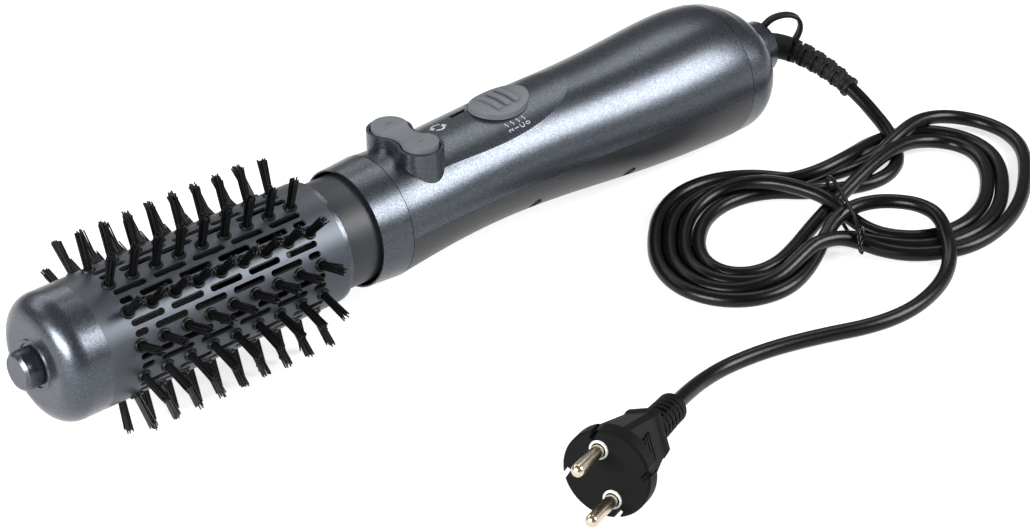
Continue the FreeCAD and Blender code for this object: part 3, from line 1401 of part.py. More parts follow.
def make_plug_pins():
    """The two round pins: a thin root in the collar, the pin itself and a chamfered tip."""
    pins = []
    step = COLLAR_STAND + 0.1
    for number, z in enumerate((-d.pin_spacing / 2, d.pin_spacing / 2)):
        root = rod("pin_root_%d" % number, d.pin_root_radius, PIN_SEAT + step,
                   (-PIN_SEAT, 0, z))
        shank = rod("pin_shank_%d" % number, d.pin_radius, d.pin_length - 1.0 - step,
                    (step, 0, z))
        tip = doc.addObject("Part::Cone", "pin_tip_%d" % number)
        tip.setExpression("Radius1", d.pin_radius.formula)
        tip.setExpression("Radius2", (d.pin_radius - 0.9).formula)
        tip.Height = 1
        place(tip, (d.pin_length - 1.0, 0, z), ALONG_X)
        pins.append(fuse("pin_%d" % number, root, shank, tip))
    keep_plug(gathered("plug_pins", *pins), "plug_pins")


def make_plug_pin_collars():
    """The white insulating collars around the pins' roots."""
    collars = [tube("pin_collar_%d" % n, d.pin_collar_radius, d.pin_root_radius,
                    PIN_SEAT + COLLAR_STAND, (-PIN_SEAT, 0, z))
               for n, z in enumerate((-d.pin_spacing / 2, d.pin_spacing / 2))]
    keep_plug(gathered("plug_pin_collars", *collars), "plug_pin_collars")


# ---------------------------------------------------------------- everything, in order

make_tip_knob()
make_tip_pin()
make_end_cap()
make_front_hub()
make_barrel_tube()
make_bristle_rows()
make_rear_ring()
make_neck_sleeve()
make_drive_hub()
make_drive_shaft()
make_front_collar()
make_bearing_spider()
make_shaft_bush()
make_upper_shell()
make_lower_shell()
make_rear_cap()
make_intake_screen()
make_shell_screws()
make_rocker()
make_rocker_pin()
make_rocker_switches()
make_control_board()
make_slide_switch()
make_slide_knob()
make_slider_catch()
make_heater_duct()
make_heater_frame()
make_heater_coils()
make_thermal_cutout()
make_gear_motor()
make_motor_mount()
make_fan_shroud()
make_fan_motor()
make_fan_shaft()
make_fan_impeller()
make_swivel_core()
make_slip_rings()
make_contact_board()
make_swivel_contacts()
make_hang_loop()
make_strain_relief()
make_cord_lead()
make_cord_hank()
make_cord_tie()
make_cord_tail()
make_plug_body()
make_plug_pins()
make_plug_pin_collars()

doc.recompute()
for item in doc.Objects:
    if "Invalid" in item.State or "Error" in item.State:
        raise RuntimeError("%s did not build: %s" % (item.Name, item.State))
for piece in SUBPARTS:
    if piece.Shape.isNull() or not piece.Shape.isValid() or not piece.Shape.Solids:
        raise RuntimeError("%s has no valid solid" % piece.Label)

os.makedirs("parts", exist_ok=True)
for piece in SUBPARTS:
    piece.Shape.exportStep(os.path.join("parts", piece.Label + ".step"))
print("%d sub-parts written" % len(SUBPARTS))
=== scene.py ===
# %% [markdown]
# # A hot air brush
# A hot air brush is a hair dryer whose air leaves through a turning round brush. This
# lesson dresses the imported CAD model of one: the frame gives every part its place in
# metres, and each cell below adds a piece or a finish and says why it is made that way.

# %% Load the frame
import json
import math
import random

import bmesh
import bpy
import numpy as np
from mathutils import Matrix, Vector
from mathutils.bvhtree import BVHTree


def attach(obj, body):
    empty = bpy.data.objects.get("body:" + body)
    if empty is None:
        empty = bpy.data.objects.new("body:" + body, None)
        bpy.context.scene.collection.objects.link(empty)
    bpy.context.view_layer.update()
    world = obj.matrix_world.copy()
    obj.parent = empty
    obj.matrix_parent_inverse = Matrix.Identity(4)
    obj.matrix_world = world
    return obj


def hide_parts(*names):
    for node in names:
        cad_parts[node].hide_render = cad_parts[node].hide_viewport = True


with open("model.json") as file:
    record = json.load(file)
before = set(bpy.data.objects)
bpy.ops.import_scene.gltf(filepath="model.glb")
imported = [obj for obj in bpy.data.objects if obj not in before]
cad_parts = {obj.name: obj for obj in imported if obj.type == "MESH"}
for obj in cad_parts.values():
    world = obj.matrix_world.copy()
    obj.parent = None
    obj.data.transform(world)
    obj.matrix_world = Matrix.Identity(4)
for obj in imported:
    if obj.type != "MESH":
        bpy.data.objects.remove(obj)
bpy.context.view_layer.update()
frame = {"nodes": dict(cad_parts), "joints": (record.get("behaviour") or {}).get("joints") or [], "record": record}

MM = 0.001

# %% [markdown]
# ## The brush's own axis
# The brush lies on its bristles, so its axis is not level. Everything turned or laid
# round the barrel is far easier to place along the brush's own axis. One matrix, LAY,
# is read from the barrel's joint: x runs from the tip to the cord and z is up.

# %% The brush's own axis
BARREL_END = 132.5
joint = {j["name"]: j for j in frame["joints"]}
along = Vector(joint["barrel_spin"]["axis"]).normalized()
tip_end = Vector(joint["barrel_spin"]["pos_m"]) - along * BARREL_END * MM
upward = along.cross(Vector((0, 1, 0)))
LAY = Matrix.Translation(tip_end) @ Matrix((along, (0, 1, 0), upward)).transposed().to_4x4()


def around(x, radius, angle):
    """A point x mm from the tip, radius mm from the axis, at angle degrees from the top towards the front."""
    turn = math.radians(angle)
    return LAY @ Vector((x * MM, -math.sin(turn) * radius * MM, math.cos(turn) * radius * MM))


print("tip of the brush at", [round(v, 4) for v in tip_end])

# %% [markdown]
# ## The camera
# A long lens from the front left keeps the brush nearly free of perspective. Its place
# is given in the brush's own frame, because that is where its view is easy to reason
# about, and a small roll about the brush's axis sets it over the floor.

# %% The camera
LENS = 87.3786408
ROLL = -1.8
eye = Vector((-364.8, -688.0, 468.0)) * MM
view_right = Vector((0.7407, -0.6712, -0.0299))
view_up = Vector((0.3513, 0.3490, 0.8688))
view_back = Vector((-0.5727, -0.6540, 0.4943))
facing = Matrix((view_right, view_up, view_back)).transposed().to_4x4()
camera = bpy.data.objects.new("camera", bpy.data.cameras.new("camera"))
camera.data.lens = LENS
camera.data.sensor_width = 36
camera.matrix_world = LAY @ Matrix.Rotation(math.radians(ROLL), 4, "X") @ Matrix.Translation(eye) @ facing
bpy.context.scene.collection.objects.link(camera)
bpy.context.scene.camera = camera
bpy.context.scene.view_settings.view_transform = "Standard"
print("camera stands at", [round(v, 3) for v in camera.matrix_world.translation])

# %% [markdown]
# ## The cord
# The lead is one length of round PVC cord, a little under two metres of it. It leaves
# the strain relief, goes into a tied hank of loose turns, comes out again over the
# strands and runs to the plug. It is a single NURBS spline. The hank's turns are drawn
# as two lobes, one each side of the tie.

# %% The two lobes of the hank
CORD = 6.2
TIE = (148.0, -88.0)
LOW, HIGH = 3.1, 9.3
LEFT_LOBE = [(-5, 18), (-11, 36), (-24, 50), (-42, 53), (-61, 45), (-78, 32), (-92, 18),
             (-101, 2), (-100, -14), (-87, -25), (-67, -25), (-46, -18), (-27, -10)]
RIGHT_LOBE = [(-6, -16), (-8, -29), (-6, -41), (2, -50), (16, -55), (34, -54), (54, -48), (73, -37),
              (90, -24), (101, -11), (106, 2), (98, 13), (83, 16), (68, 15), (52, 12), (36, 8)]
BACKWARDS = RIGHT_LOBE[::-1]
RAMP = 0.3


def lobe_pass(lobe, length, front, rear, heights):
    """The points of one pass round a lobe, in mm.

    length scales its reach, front and rear scale its bulge on either side, and heights
    are those of its start, its far end and its finish.
    """
    start, middle, finish = heights
    points = []
    for number, (x, y) in enumerate(lobe):
        share = number / (len(lobe) - 1)
        rise = min(1.0, share / RAMP) if share < 0.5 else max(0.0, 1 - (1 - share) / RAMP)
        z = start + (middle - start) * rise if share < 0.5 else middle + (finish - middle) * rise
        points.append((TIE[0] + x * length, TIE[1] + y * (rear if y > 0 else front), z))
    return points


print("a left lobe has", len(LEFT_LOBE), "points and a right one", len(RIGHT_LOBE))

# %% [markdown]
# Every pass round a lobe has its own reach and bulge, so that the turns fan out, and its
# own heights, so that they pass over each other. Between two passes the cord crosses at
# the tie. The lead and the tail are drawn point by point.

# %% The whole route
passes = [
    # crossing at the tie, lobe, length, front, rear, heights
    ((150, -84.5, HIGH), LEFT_LOBE, 0.81, 0.82, 0.76, (LOW, 8.8, 3.4)),
    ((149, -88, LOW), BACKWARDS, 0.82, 0.90, 0.80, (HIGH, HIGH, HIGH)),
    ((150.5, -84.5, HIGH), LEFT_LOBE, 0.83, 0.92, 0.87, (HIGH, LOW, LOW)),
    ((144, -97, LOW), RIGHT_LOBE, 0.83, 1.05, 1.4, (LOW, LOW, 12.0)),
    ((153.5, -77.5, HIGH), LEFT_LOBE, 0.88, 1.02, 0.99, (HIGH, LOW, 8.8)),
    ((145, -95, HIGH), RIGHT_LOBE, 1.03, 1.08, 1.16, (HIGH, LOW, 11.0)),
    ((155, -74, 3.4), LEFT_LOBE, 0.94, 1.12, 1.10, (3.4, LOW, 5.0)),
]
lead = [(209.0, -38.0, 18.4), (209.2, -46.0, 15.0), (208.3, -55.5, 10.6), (205.5, -65.5, 7.2),
        (200.5, -75, 4.8), (193, -83, 3.6), (183, -88.5, 3.1), (172, -90, 3.1), (161, -88, 3.1)]
hank = []
for crossing, lobe, length, front, rear, heights in passes:
    hank += [crossing] + lobe_pass(lobe, length, front, rear, heights)
plug_axis = Vector((-0.922, -0.354, 0.157)).normalized()
plug_face = Vector((-63.0, -168.0, 19.9))
tail = [(134, -93, 9.5), (142, -94, 12.4), (152, -98, 16), (159, -107, 18), (162, -119, 17),
        (160, -132.5, 12), (153, -144, 6.0), (142, -152.5, 3.2), (127, -158.5, 3.2), (109, -161, 3.2),
        (91, -157.5, 3.2), (72, -148, 3.2), (52, -140, 3.2), (33, -136.2, 3.4), (18, -137.6, 5.0),
        tuple(plug_face - plug_axis * 71), tuple(plug_face - plug_axis * 58)]
drawn = np.array(lead + hank + tail, dtype=float)
print(len(drawn), "points drawn for the cord")

# %% [markdown]
# Real turns don't pass through each other: they slide apart and drop until something
# holds them up. A short settling does the same to the drawn points. It needs to know
# where the spline runs between its points, and how sharply it bends at each of them.

# %% Samples and bends of the spline
SAMPLES = 5
TIGHTEST = 36.0
TINY = 1e-6


def spline_rows(count):
    """One row for each sample of a quadratic spline: how much of every control point it takes."""
    rows = []
    for first in range(count - 2):
        for step in range(SAMPLES):
            t = step / SAMPLES
            row = np.zeros(count)
            row[first:first + 3] = 0.5 * (1 - t) ** 2, 0.5 * (1 + 2 * t - 2 * t * t), 0.5 * t * t
            rows.append(row)
    return np.array(rows)


def limited(points):
    """The bend at each point, cut down to a radius of TIGHTEST mm, and the bend as it is."""
    bend = points[:-2] - 2 * points[1:-1] + points[2:]
    reach = ((points[2:] - points[:-2]) ** 2).sum(1) / 4
    sharp = np.sqrt((bend ** 2).sum(1)) + TINY
    return bend * np.minimum(1, reach / TIGHTEST / sharp)[:, None], bend


rows = spline_rows(len(drawn))
print(len(rows), "samples follow the cord")

# %% [markdown]
# Samples that come nearer than one diameter push each other apart. A push on a sample
# is handed on to the control points that shape the spline there.

# %% Push the strands apart
FULL_SHARE = 0.6


def pushed(points, apart):
    """How far each point moves so that the pairs of samples in apart keep one diameter."""
    samples = rows @ points
    gap = samples[:, None] - samples[None]
    distance = np.sqrt((gap ** 2).sum(2)) + TINY
    one, other = np.where((distance < CORD) & apart)
    push = np.zeros_like(samples)
    touches = np.zeros(len(samples))
    near = distance[one, other]
    np.add.at(push, one, gap[one, other] * ((CORD - near) * 0.5 / near)[:, None])
    np.add.at(touches, one, 1)
    push /= np.maximum(touches, 1)[:, None]
    share = rows.T @ (touches > 0).astype(float)
    return rows.T @ push / np.maximum(share, FULL_SHARE)[:, None]


order = np.arange(len(rows))
far_apart = np.abs(order[:, None] - order[None]) > 2 * SAMPLES
first_push = np.sqrt((pushed(drawn, far_apart) ** 2).sum(1)).max()
print("the first push moves a point by up to", round(float(first_push), 1), "mm")

# %% [markdown]
# In each round of the settling the strands push. Then the cord's stiffness holds the
# bends that were drawn, bends that are too sharp are eased, every point is drawn a
# little back to its place and sinks a little, and the floor stops it. The cord is held
# fast at the strain relief and on its way to the plug.

# %% Let the turns settle
ROUNDS = 360
KEEP_BEND, EASE_BEND = 0.06, 0.16
RETURN, SINK = 0.014, 0.1
OFF_FLOOR = 0.05
HELD_AT_RELIEF, HELD_AT_PLUG = 3, 12


def settle(start, loose):
    """The points after the turns have pushed each other apart and come to rest."""
    points = start.copy()
    drawn_bend = limited(start)[0]
    for _ in range(ROUNDS):
        move = pushed(points, far_apart)
        allowed, bend = limited(points)
        stiff = bend - drawn_bend
        stiff[:, 2] = bend[:, 2]
        move[1:-1] += KEEP_BEND * stiff
        relax = bend - allowed
        move[1:-1] += EASE_BEND * relax
        move[2:] -= EASE_BEND / 2 * relax
        move[:-2] -= EASE_BEND / 2 * relax
        move[:, :2] += RETURN * (start - points)[:, :2]
        move[:, 2] -= SINK
        points += move * loose[:, None]
        points[:, 2] = np.maximum(points[:, 2], CORD / 2 + OFF_FLOOR)
        points[loose == 0] = start[loose == 0]
    return points


loose = np.ones(len(drawn))
loose[:HELD_AT_RELIEF] = 0
loose[-HELD_AT_PLUG:] = 0
settled = settle(drawn, loose)
print("highest strand", round(float(settled[2:-2, 2].max()), 1), "mm")

# %% [markdown]
# The settled points become the control points of one NURBS curve. Before the curve gets
# its round bevel, its mesh is taken as the line that the cord follows.

# %% The cord itself
def nurbs_curve(name, points, resolution):
    """A quadratic NURBS curve that starts and ends at its end points, which are given in mm."""
    curve = bpy.data.curves.new(name, "CURVE")
    curve.dimensions = "3D"
    curve.resolution_u = resolution
    run = curve.splines.new("NURBS")
    run.points.add(len(points) - 1)
    for point, place in zip(run.points, points):
        point.co = (*(v * MM for v in place), 1)
        point.radius = CORD / 2 * MM
    run.order_u = 3
    run.use_endpoint_u = True
    return curve


def line_of(curve):
    """The points along a curve that has no bevel, in metres."""
    holder = bpy.data.objects.new("line", curve)
    mesh = bpy.data.meshes.new_from_object(holder)
    bpy.data.objects.remove(holder)
    return [vertex.co.copy() for vertex in mesh.vertices]


cord_curve = nurbs_curve("lead", settled, 8)
path = line_of(cord_curve)
cord_curve.bevel_depth = 1.0
cord_curve.bevel_resolution = 4
cord_curve.use_fill_caps = True
cord_piece = bpy.data.objects.new("mains_lead", cord_curve)
bpy.context.scene.collection.objects.link(cord_piece)
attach(cord_piece, "cord_set")
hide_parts("cord_lead", "cord_hank", "cord_tail")

# %% [markdown]
# ## Finishes
# Each finish starts from what the real material is. Colours are written as the hex
# values that a paint shop would give, and one function turns them to linear light.
# A second small function adds one node and its settings and links.

# %% Colour and node helpers
def linear(code):
    """An sRGB hex colour as linear RGBA."""
    values = [int(code[i:i + 2], 16) / 255 for i in (1, 3, 5)]
    return [v / 12.92 if v <= 0.04045 else ((v + 0.055) / 1.055) ** 2.4 for v in values] + [1.0]


def add(tree, kind, settings=None, links=None):
    """Adds a node. Settings fill properties and free sockets, links join outputs to sockets."""
    node = tree.nodes.new(kind)
    for key, value in (settings or {}).items():
        if isinstance(key, int) or key in node.inputs:
            node.inputs[key].default_value = value
        else:
            setattr(node, key, value)
    for key, output in (links or {}).items():
        tree.links.new(output, node.inputs[key])
    return node


def new_material(name):
    """An empty node material: itself, its tree, its Principled shader and Object coordinates."""
    material = bpy.data.materials.new(name)
    material.use_nodes = True
    tree = material.node_tree
    tree.nodes.clear()
    shader = add(tree, "ShaderNodeBsdfPrincipled")
    add(tree, "ShaderNodeOutputMaterial", links={"Surface": shader.outputs["BSDF"]})
    place = add(tree, "ShaderNodeTexCoord").outputs["Object"]
    return material, tree, shader, place


print("mid grey in linear light:", round(linear("#808080")[0], 3))

# %% [markdown]
# Most finishes differ only in colour, gloss and the size of their grain. One noise of a
# size in millimetres moves the tone, the gloss and a faint relief together. The mix node
# has its colours on sockets 6 and 7 and its colour output is number 2.

# %% A finish with a grain
def grained(name, dark, light, size_mm, rough, metallic=0.0, bump=0.1, specular=0.5):
    """A finish whose tone and gloss vary with a noise of the given size, over the whole surface."""
    material, tree, shader, place = new_material(name)
    noise = add(tree, "ShaderNodeTexNoise", {"Scale": 1000 / size_mm, "Detail": 3.0, "Roughness": 0.6},
                {"Vector": place})
    grain = noise.outputs["Fac"]
    tone = add(tree, "ShaderNodeMix", {"data_type": "RGBA", 6: linear(dark), 7: linear(light)}, {0: grain})
    gloss = add(tree, "ShaderNodeMapRange", {"To Min": rough - 0.06, "To Max": rough + 0.06},
                {"Value": grain})
    relief = add(tree, "ShaderNodeBump", {"Strength": bump, "Distance": size_mm * MM / 2}, {"Height": grain})
    tree.links.new(tone.outputs[2], shader.inputs["Base Color"])
    tree.links.new(gloss.outputs["Result"], shader.inputs["Roughness"])
    tree.links.new(relief.outputs["Normal"], shader.inputs["Normal"])
    shader.inputs["Metallic"].default_value = metallic
    shader.inputs["Specular IOR Level"].default_value = specular
    return material


# Pad printing ink: pale grey, matt, a very thin even film.
pale_ink = grained("pad_printing_ink", "#a4a8ab", "#b2b6b9", 0.4, 0.5, 0.0, 0.03)
# The same ink in dark grey.
dark_ink = grained("dark_pad_printing_ink", "#202326", "#2a2d30", 0.4, 0.5, 0.0, 0.03)
# Plasticised PVC from an eroded tool: black, and duller than an extruded cord.
matt_pvc = grained("moulded_pvc", "#070808", "#0e0f10", 0.4, 0.56, 0.0, 0.10, 0.22)
print("grained:", pale_ink.name, dark_ink.name, matt_pvc.name)

# %% [markdown]
# The shells, the collars, the caps and the knob are ABS, sprayed with a metallic lacquer.
# Its aluminium flakes lie at slightly different angles, so that it glitters: a Voronoi
# pattern gives every flake its own tone and tilt. Real flakes are under 0.1 mm; these
# are 0.4 mm, the smallest that still shows at this distance.

# %% Sprayed metallic lacquer
FLAKE, CLOUD = 0.4, 0.7


def lacquer(name, dark, light, rough, metallic):
    """Metallic lacquer: flakes with their own tone and tilt, under a thin clear coat."""
    material, tree, shader, place = new_material(name)
    flake = add(tree, "ShaderNodeTexVoronoi", {"Scale": 1000 / FLAKE}, {"Vector": place})
    cloud = add(tree, "ShaderNodeTexNoise", {"Scale": 1000 / CLOUD, "Detail": 2.0}, {"Vector": place})
    apart = add(tree, "ShaderNodeSeparateColor", links={"Color": flake.outputs["Color"]})
    mixed = add(tree, "ShaderNodeMath", {"operation": "MULTIPLY"},
                {0: apart.outputs[0], 1: cloud.outputs["Fac"]}).outputs[0]
    tone = add(tree, "ShaderNodeMix", {"data_type": "RGBA", 6: linear(dark), 7: linear(light)}, {0: mixed})
    gloss = add(tree, "ShaderNodeMapRange", {"To Min": rough - 0.05, "To Max": rough + 0.07},
                {"Value": apart.outputs[1]})
    relief = add(tree, "ShaderNodeBump", {"Strength": 0.06, "Distance": FLAKE * MM / 2}, {"Height": mixed})
    tree.links.new(tone.outputs[2], shader.inputs["Base Color"])
    tree.links.new(gloss.outputs["Result"], shader.inputs["Roughness"])
    tree.links.new(relief.outputs["Normal"], shader.inputs["Normal"])
    shader.inputs["Metallic"].default_value = metallic
    shader.inputs["Coat Weight"].default_value = 0.12
    shader.inputs["Coat Roughness"].default_value = 0.25
    return material


paint = lacquer("graphite_metallic_lacquer", "#3e4248", "#5e6269", 0.31, 0.9)
# The lower shell gets a darker, duller copy of the same lacquer with fewer flakes: painted shade for the brush's
# underside.
underside_shade_lacquer = lacquer("graphite_lacquer_painted_shade", "#1c1d20", "#2d2f33", 0.45, 0.35)
print("lacquers:", paint.name, underside_shade_lacquer.name)

# %% [markdown]
# The other finishes are moulded plastics and bare metals. A moulding tool is spark
# eroded, so its plastics carry a fine even grain, and turned or drawn metal is smooth.
# The parts inside the brush get their real finishes too, because they can be taken out.

# %% The other finishes
finish = {
    "graphite_paint": paint,
    # Aluminium tube with a thermally conductive ceramic coat, sprayed and baked: satin, even, cool grey.
    "barrel_metal": grained("ceramic_coated_aluminium", "#3e4247", "#4d5157", 0.6, 0.44, 0.85, 0.05),
    # Glass-filled nylon, moulded and polished: dark, with a soft sheen.
    "neck_plastic": grained("moulded_glass_filled_nylon", "#202225", "#282a2e", 0.7, 0.46, 0.0, 0.05, 0.35),
    # ABS from a finely eroded tool, painted a matt dark grey.
    "switch_plastic": grained("matt_painted_abs", "#585c60", "#63676c", 0.45, 0.5, 0.3, 0.10),
    # Nylon 6 monofilament, drawn: black and slightly glossy.
    "bristle_nylon": grained("drawn_nylon", "#040405", "#090a0b", 0.5, 0.42, 0.0, 0.06, 0.2),
    # Heat resistant PBT, moulded: black, an even fine grain.
    "black_plastic": grained("moulded_black_pbt", "#030404", "#080909", 0.4, 0.58, 0.0, 0.12, 0.10),
    # Nickel plated steel, stamped and polished.
    "steel": grained("plated_steel", "#a3a5a8", "#b8babc", 1.2, 0.28, 1.0, 0.03),
    # Brass, turned.
    "brass": grained("turned_brass", "#b08a3c", "#c8a052", 0.9, 0.28, 1.0, 0.03),
    # Brass pins, nickel plated and tumbled: bright, a little warm.
    "nickel": grained("nickel_plated_brass", "#bcae96", "#cfc3ad", 0.8, 0.24, 1.0, 0.03),
    # Glass epoxy laminate with green solder resist.
    "board_laminate": grained("glass_epoxy_laminate", "#12402a", "#1b5637", 0.8, 0.38, 0.0, 0.08),
    # Pressed mica sheet: pale, flaky.
    "mica": grained("pressed_mica", "#a89c83", "#cfc6b0", 2.5, 0.42, 0.0, 0.15),
    # Nickel chrome resistance wire, oxidised.
    "heating_wire": grained("oxidised_nichrome", "#4d4844", "#6b645d", 0.5, 0.45, 1.0, 0.08),
    # Plasticised PVC, extruded over the strands: black, semi-gloss, faintly uneven.
    "cord_pvc": grained("extruded_pvc", "#030304", "#070809", 0.9, 0.30, 0.0, 0.10, 0.22),
    # Nylon, natural white.
    "white_plastic": grained("natural_white_nylon", "#dcdcd8", "#ececea", 0.6, 0.40, 0.0, 0.04),
}
slot_of = {entry["node"]: entry["material_slot"] for entry in frame["record"]["subparts"]}
for node, slot_name in slot_of.items():
    part = frame["nodes"][node]
    part.data.materials.clear()
    part.data.materials.append(finish[slot_name])
# The lower shell wears the darker copy of the lacquer, which paints the shade of the underside.
frame["nodes"]["lower_shell"].data.materials[0] = underside_shade_lacquer
cord_piece.data.materials.append(finish["cord_pvc"])
print(len(slot_of), "nodes have their finish")

# %% [markdown]
# ## Making a piece
# Every new piece ends the same way: its mesh goes into an object at the origin, its
# smooth faces stop at sharp edges, and it is given a body to ride on and its slot's finish.

# %% Turn a bmesh into a piece
SHARP = 32


def make_piece(form, name, body, slot_name, stands_for=(), material=None, sharp=SHARP):
    """A finished object from a bmesh: shaded, riding on its body, with its finish."""
    mesh = bpy.data.meshes.new(name)
    form.to_mesh(mesh)
    form.free()
    for face in mesh.polygons:
        face.use_smooth = True
    mesh.set_sharp_from_angle(angle=math.radians(sharp))
    mesh.materials.append(material or finish[slot_name])
    piece = bpy.data.objects.new(name, mesh)
    bpy.context.scene.collection.objects.link(piece)
    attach(piece, body)
    if stands_for:
        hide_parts(*stands_for)
    print(name, "has", len(mesh.polygons), "faces")
    return piece


print("smooth faces stop at edges over", SHARP, "degrees")

# %% [markdown]
# Two more helpers serve several pieces: one places a block, and one spins a profile, as
# a lathe would. The profile's points are joined by edges first; a full spin merges its
# last copy with the first.

# %% Blocks and spun profiles
def add_block(form, place, *sides):
    """A plain block on a place's own axes, with its three sides in mm."""
    block = bmesh.ops.create_cube(form, size=1)["verts"]
    size = Matrix.Diagonal((*(side * MM for side in sides), 1))
    bmesh.ops.transform(form, matrix=place @ size, verts=block)


def spin_run(form, run, axis, steps, closed=True):
    """Spins a run of points in mm round an axis through the origin and returns the new faces."""
    points = [form.verts.new([v * MM for v in point]) for point in run]
    ends = points[1:] + points[:1] if closed else points[1:]
    edges = [form.edges.new(pair) for pair in zip(points, ends)]
    before = set(form.faces)
    bmesh.ops.spin(form, geom=points + edges, cent=(0, 0, 0), axis=axis, angle=2 * math.pi, steps=steps,
                   use_merge=True)
    return [face for face in form.faces if face not in before]


trial = bmesh.new()
add_block(trial, Matrix.Identity(4), 1, 1, 1)
print("a block has", len(trial.faces), "faces")
trial.free()

# %% [markdown]
# ## The perforated barrel
# The barrel is a thin aluminium tube, punched with rows of long slots that let the hot
# air out between the bristles. Cutting over a hundred slots out of a tube one by one is
# slow. A flat strip with its slots is drawn as a filled curve instead, as the sheet is
# punched. Outlines inside an outline become holes when a 2-D curve is filled.

# %% The outlines of the sheet and its slots
BARREL_START = 25.2
BARREL_RADIUS = 25.0
BARREL_WALL = 1.0
SECTORS = 12
SLOT_WIDTH = 2.6
ROUND_STEPS = 8
arc = 2 * math.pi * BARREL_RADIUS / SECTORS


def outline(curve, corners):
    """Adds a closed straight-sided outline to a flat curve."""
    edge = curve.splines.new("POLY")
    edge.points.add(len(corners) - 1)
    for point, (x, y) in zip(edge.points, corners):
        point.co = (x * MM, y * MM, 0, 1)
    edge.use_cyclic_u = True


def slot_corners(x0, x1, y):
    """The corners of a slot with round ends."""
    radius = SLOT_WIDTH / 2
    ends = []
    for centre, first in ((x1 - radius, -90), (x0 + radius, 90)):
        for step in range(ROUND_STEPS + 1):
            turn = math.radians(first + 180 * step / ROUND_STEPS)
            ends.append((centre + radius * math.cos(turn), y + radius * math.sin(turn)))
    return ends


print("each of", SECTORS, "strips is", round(arc, 2), "mm wide")

# %% [markdown]
# Each strip carries two lines of slots. One line has long slots only; the other begins
# and ends with a short one, so that its slots are staggered against the first line's.

# %% Punch a strip
SLOT_LINE = 2.05
SLOT_LONG, SLOT_SHORT, SLOT_GAP = 14.4, 5.7, 3.0
SLOTS_START = BARREL_START + 11.6
strip = bpy.data.curves.new("strip", "CURVE")
strip.dimensions = "2D"
strip.fill_mode = "BOTH"
strip.extrude = BARREL_WALL / 2 * MM
outline(strip, [(BARREL_START, -arc / 2), (BARREL_END, -arc / 2), (BARREL_END, arc / 2),
                (BARREL_START, arc / 2)])
all_long = [SLOT_LONG] * 5
staggered = [SLOT_SHORT] + [SLOT_LONG] * 4 + [SLOT_SHORT]
for side, lengths in ((-1, all_long), (1, staggered)):
    x = SLOTS_START
    for length in lengths:
        outline(strip, slot_corners(x, x + length, side * SLOT_LINE))
        x += length + SLOT_GAP
strip_object = bpy.data.objects.new("strip", strip)
flat = bpy.data.meshes.new_from_object(strip_object)
bpy.data.objects.remove(strip_object)
print("the flat strip has", len(flat.polygons), "faces")

# %% [markdown]
# The strip is cut into narrow bands, so that it can bend. Twelve equal strips side by
# side make the sheet. The walls between them come out, and the sheet is rolled: how far
# a point lies across the sheet becomes its angle round the barrel.

# %% Roll twelve strips into a tube
BANDS = 10
form = bmesh.new()
form.from_mesh(flat)
bmesh.ops.remove_doubles(form, verts=form.verts, dist=0.00001)
for band in range(1, BANDS):
    cut = (-arc / 2 + arc * band / BANDS) * MM
    bmesh.ops.bisect_plane(form, geom=form.verts[:] + form.edges[:] + form.faces[:], dist=1e-7,
                           plane_co=(0, cut, 0), plane_no=(0, 1, 0))
strip_faces = form.faces[:]
for sector in range(1, SECTORS):
    copied = bmesh.ops.duplicate(form, geom=strip_faces)["geom"]
    bmesh.ops.translate(form, verts=[v for v in copied if isinstance(v, bmesh.types.BMVert)],
                        vec=(0, sector * arc * MM, 0))
seams = [(edge * 2 - 1) * arc / 2 * MM for edge in range(SECTORS + 1)]
inner_walls = [f for f in form.faces if abs(f.normal.y) > 0.99
               and min(abs(f.calc_center_median().y - seam) for seam in seams) < 1e-5]
bmesh.ops.delete(form, geom=inner_walls, context="FACES")
for vertex in form.verts:
    turn = vertex.co.y / (BARREL_RADIUS * MM)
    depth = BARREL_RADIUS - BARREL_WALL / 2 + vertex.co.z / MM
    vertex.co = around(vertex.co.x / MM, depth, math.degrees(turn))
bmesh.ops.remove_doubles(form, verts=form.verts, dist=0.00002)
bmesh.ops.recalc_face_normals(form, faces=form.faces)
make_piece(form, "punched_barrel", "barrel", "barrel_metal", ["barrel_tube"])

# %% [markdown]
# ## The bristles
# A tuft is a bunch of drawn nylon filaments, set in a glossy cup that stands a little
# proud of the barrel. The cup is a rounded ring, so it is a spun profile, with a floor
# to close it. The profile is open, so its faces may all come out turned inwards: the
# sum of their normals tells.

# %% The cup of a tuft
CUP_RADIUS, CUP_STAND = 2.75, 0.9
CUP_STEPS = 16
# Each point is how far inside the cup's rim and how far above the barrel it lies.
CUP_PROFILE = [(0, -0.5), (0, 0.35), (0.25, 0.75), (0.75, CUP_STAND), (1.15, 0.7), (1.35, 0.2)]


def stand(x, angle):
    """A frame on the axis whose z points outwards at this place of the barrel."""
    out = (around(x, 1, angle) - around(x, 0, angle)).normalized()
    side = out.cross(along)
    return Matrix.Translation(around(x, 0, angle)) @ Matrix((along, side, out)).transposed().to_4x4()


def add_cup(form, place):
    """A glossy cup: a rounded ring with a dished middle."""
    run = [(CUP_RADIUS - inset, 0, BARREL_RADIUS + rise) for inset, rise in CUP_PROFILE]
    faces = spin_run(form, run, (0, 0, 1), CUP_STEPS, closed=False)
    middle = [e for f in faces for e in f.edges if e.is_boundary
              and abs(e.verts[0].co.z - run[-1][2] * MM) < 1e-6]
    faces += bmesh.ops.contextual_create(form, geom=middle)["faces"]
    bmesh.ops.recalc_face_normals(form, faces=faces)
    if sum(f.normal.z for f in faces) < 0:
        bmesh.ops.reverse_faces(form, faces=faces)
    bmesh.ops.transform(form, matrix=place, verts=list({v for f in faces for v in f.verts}))


print("a cup stands", CUP_STAND, "mm above the barrel")

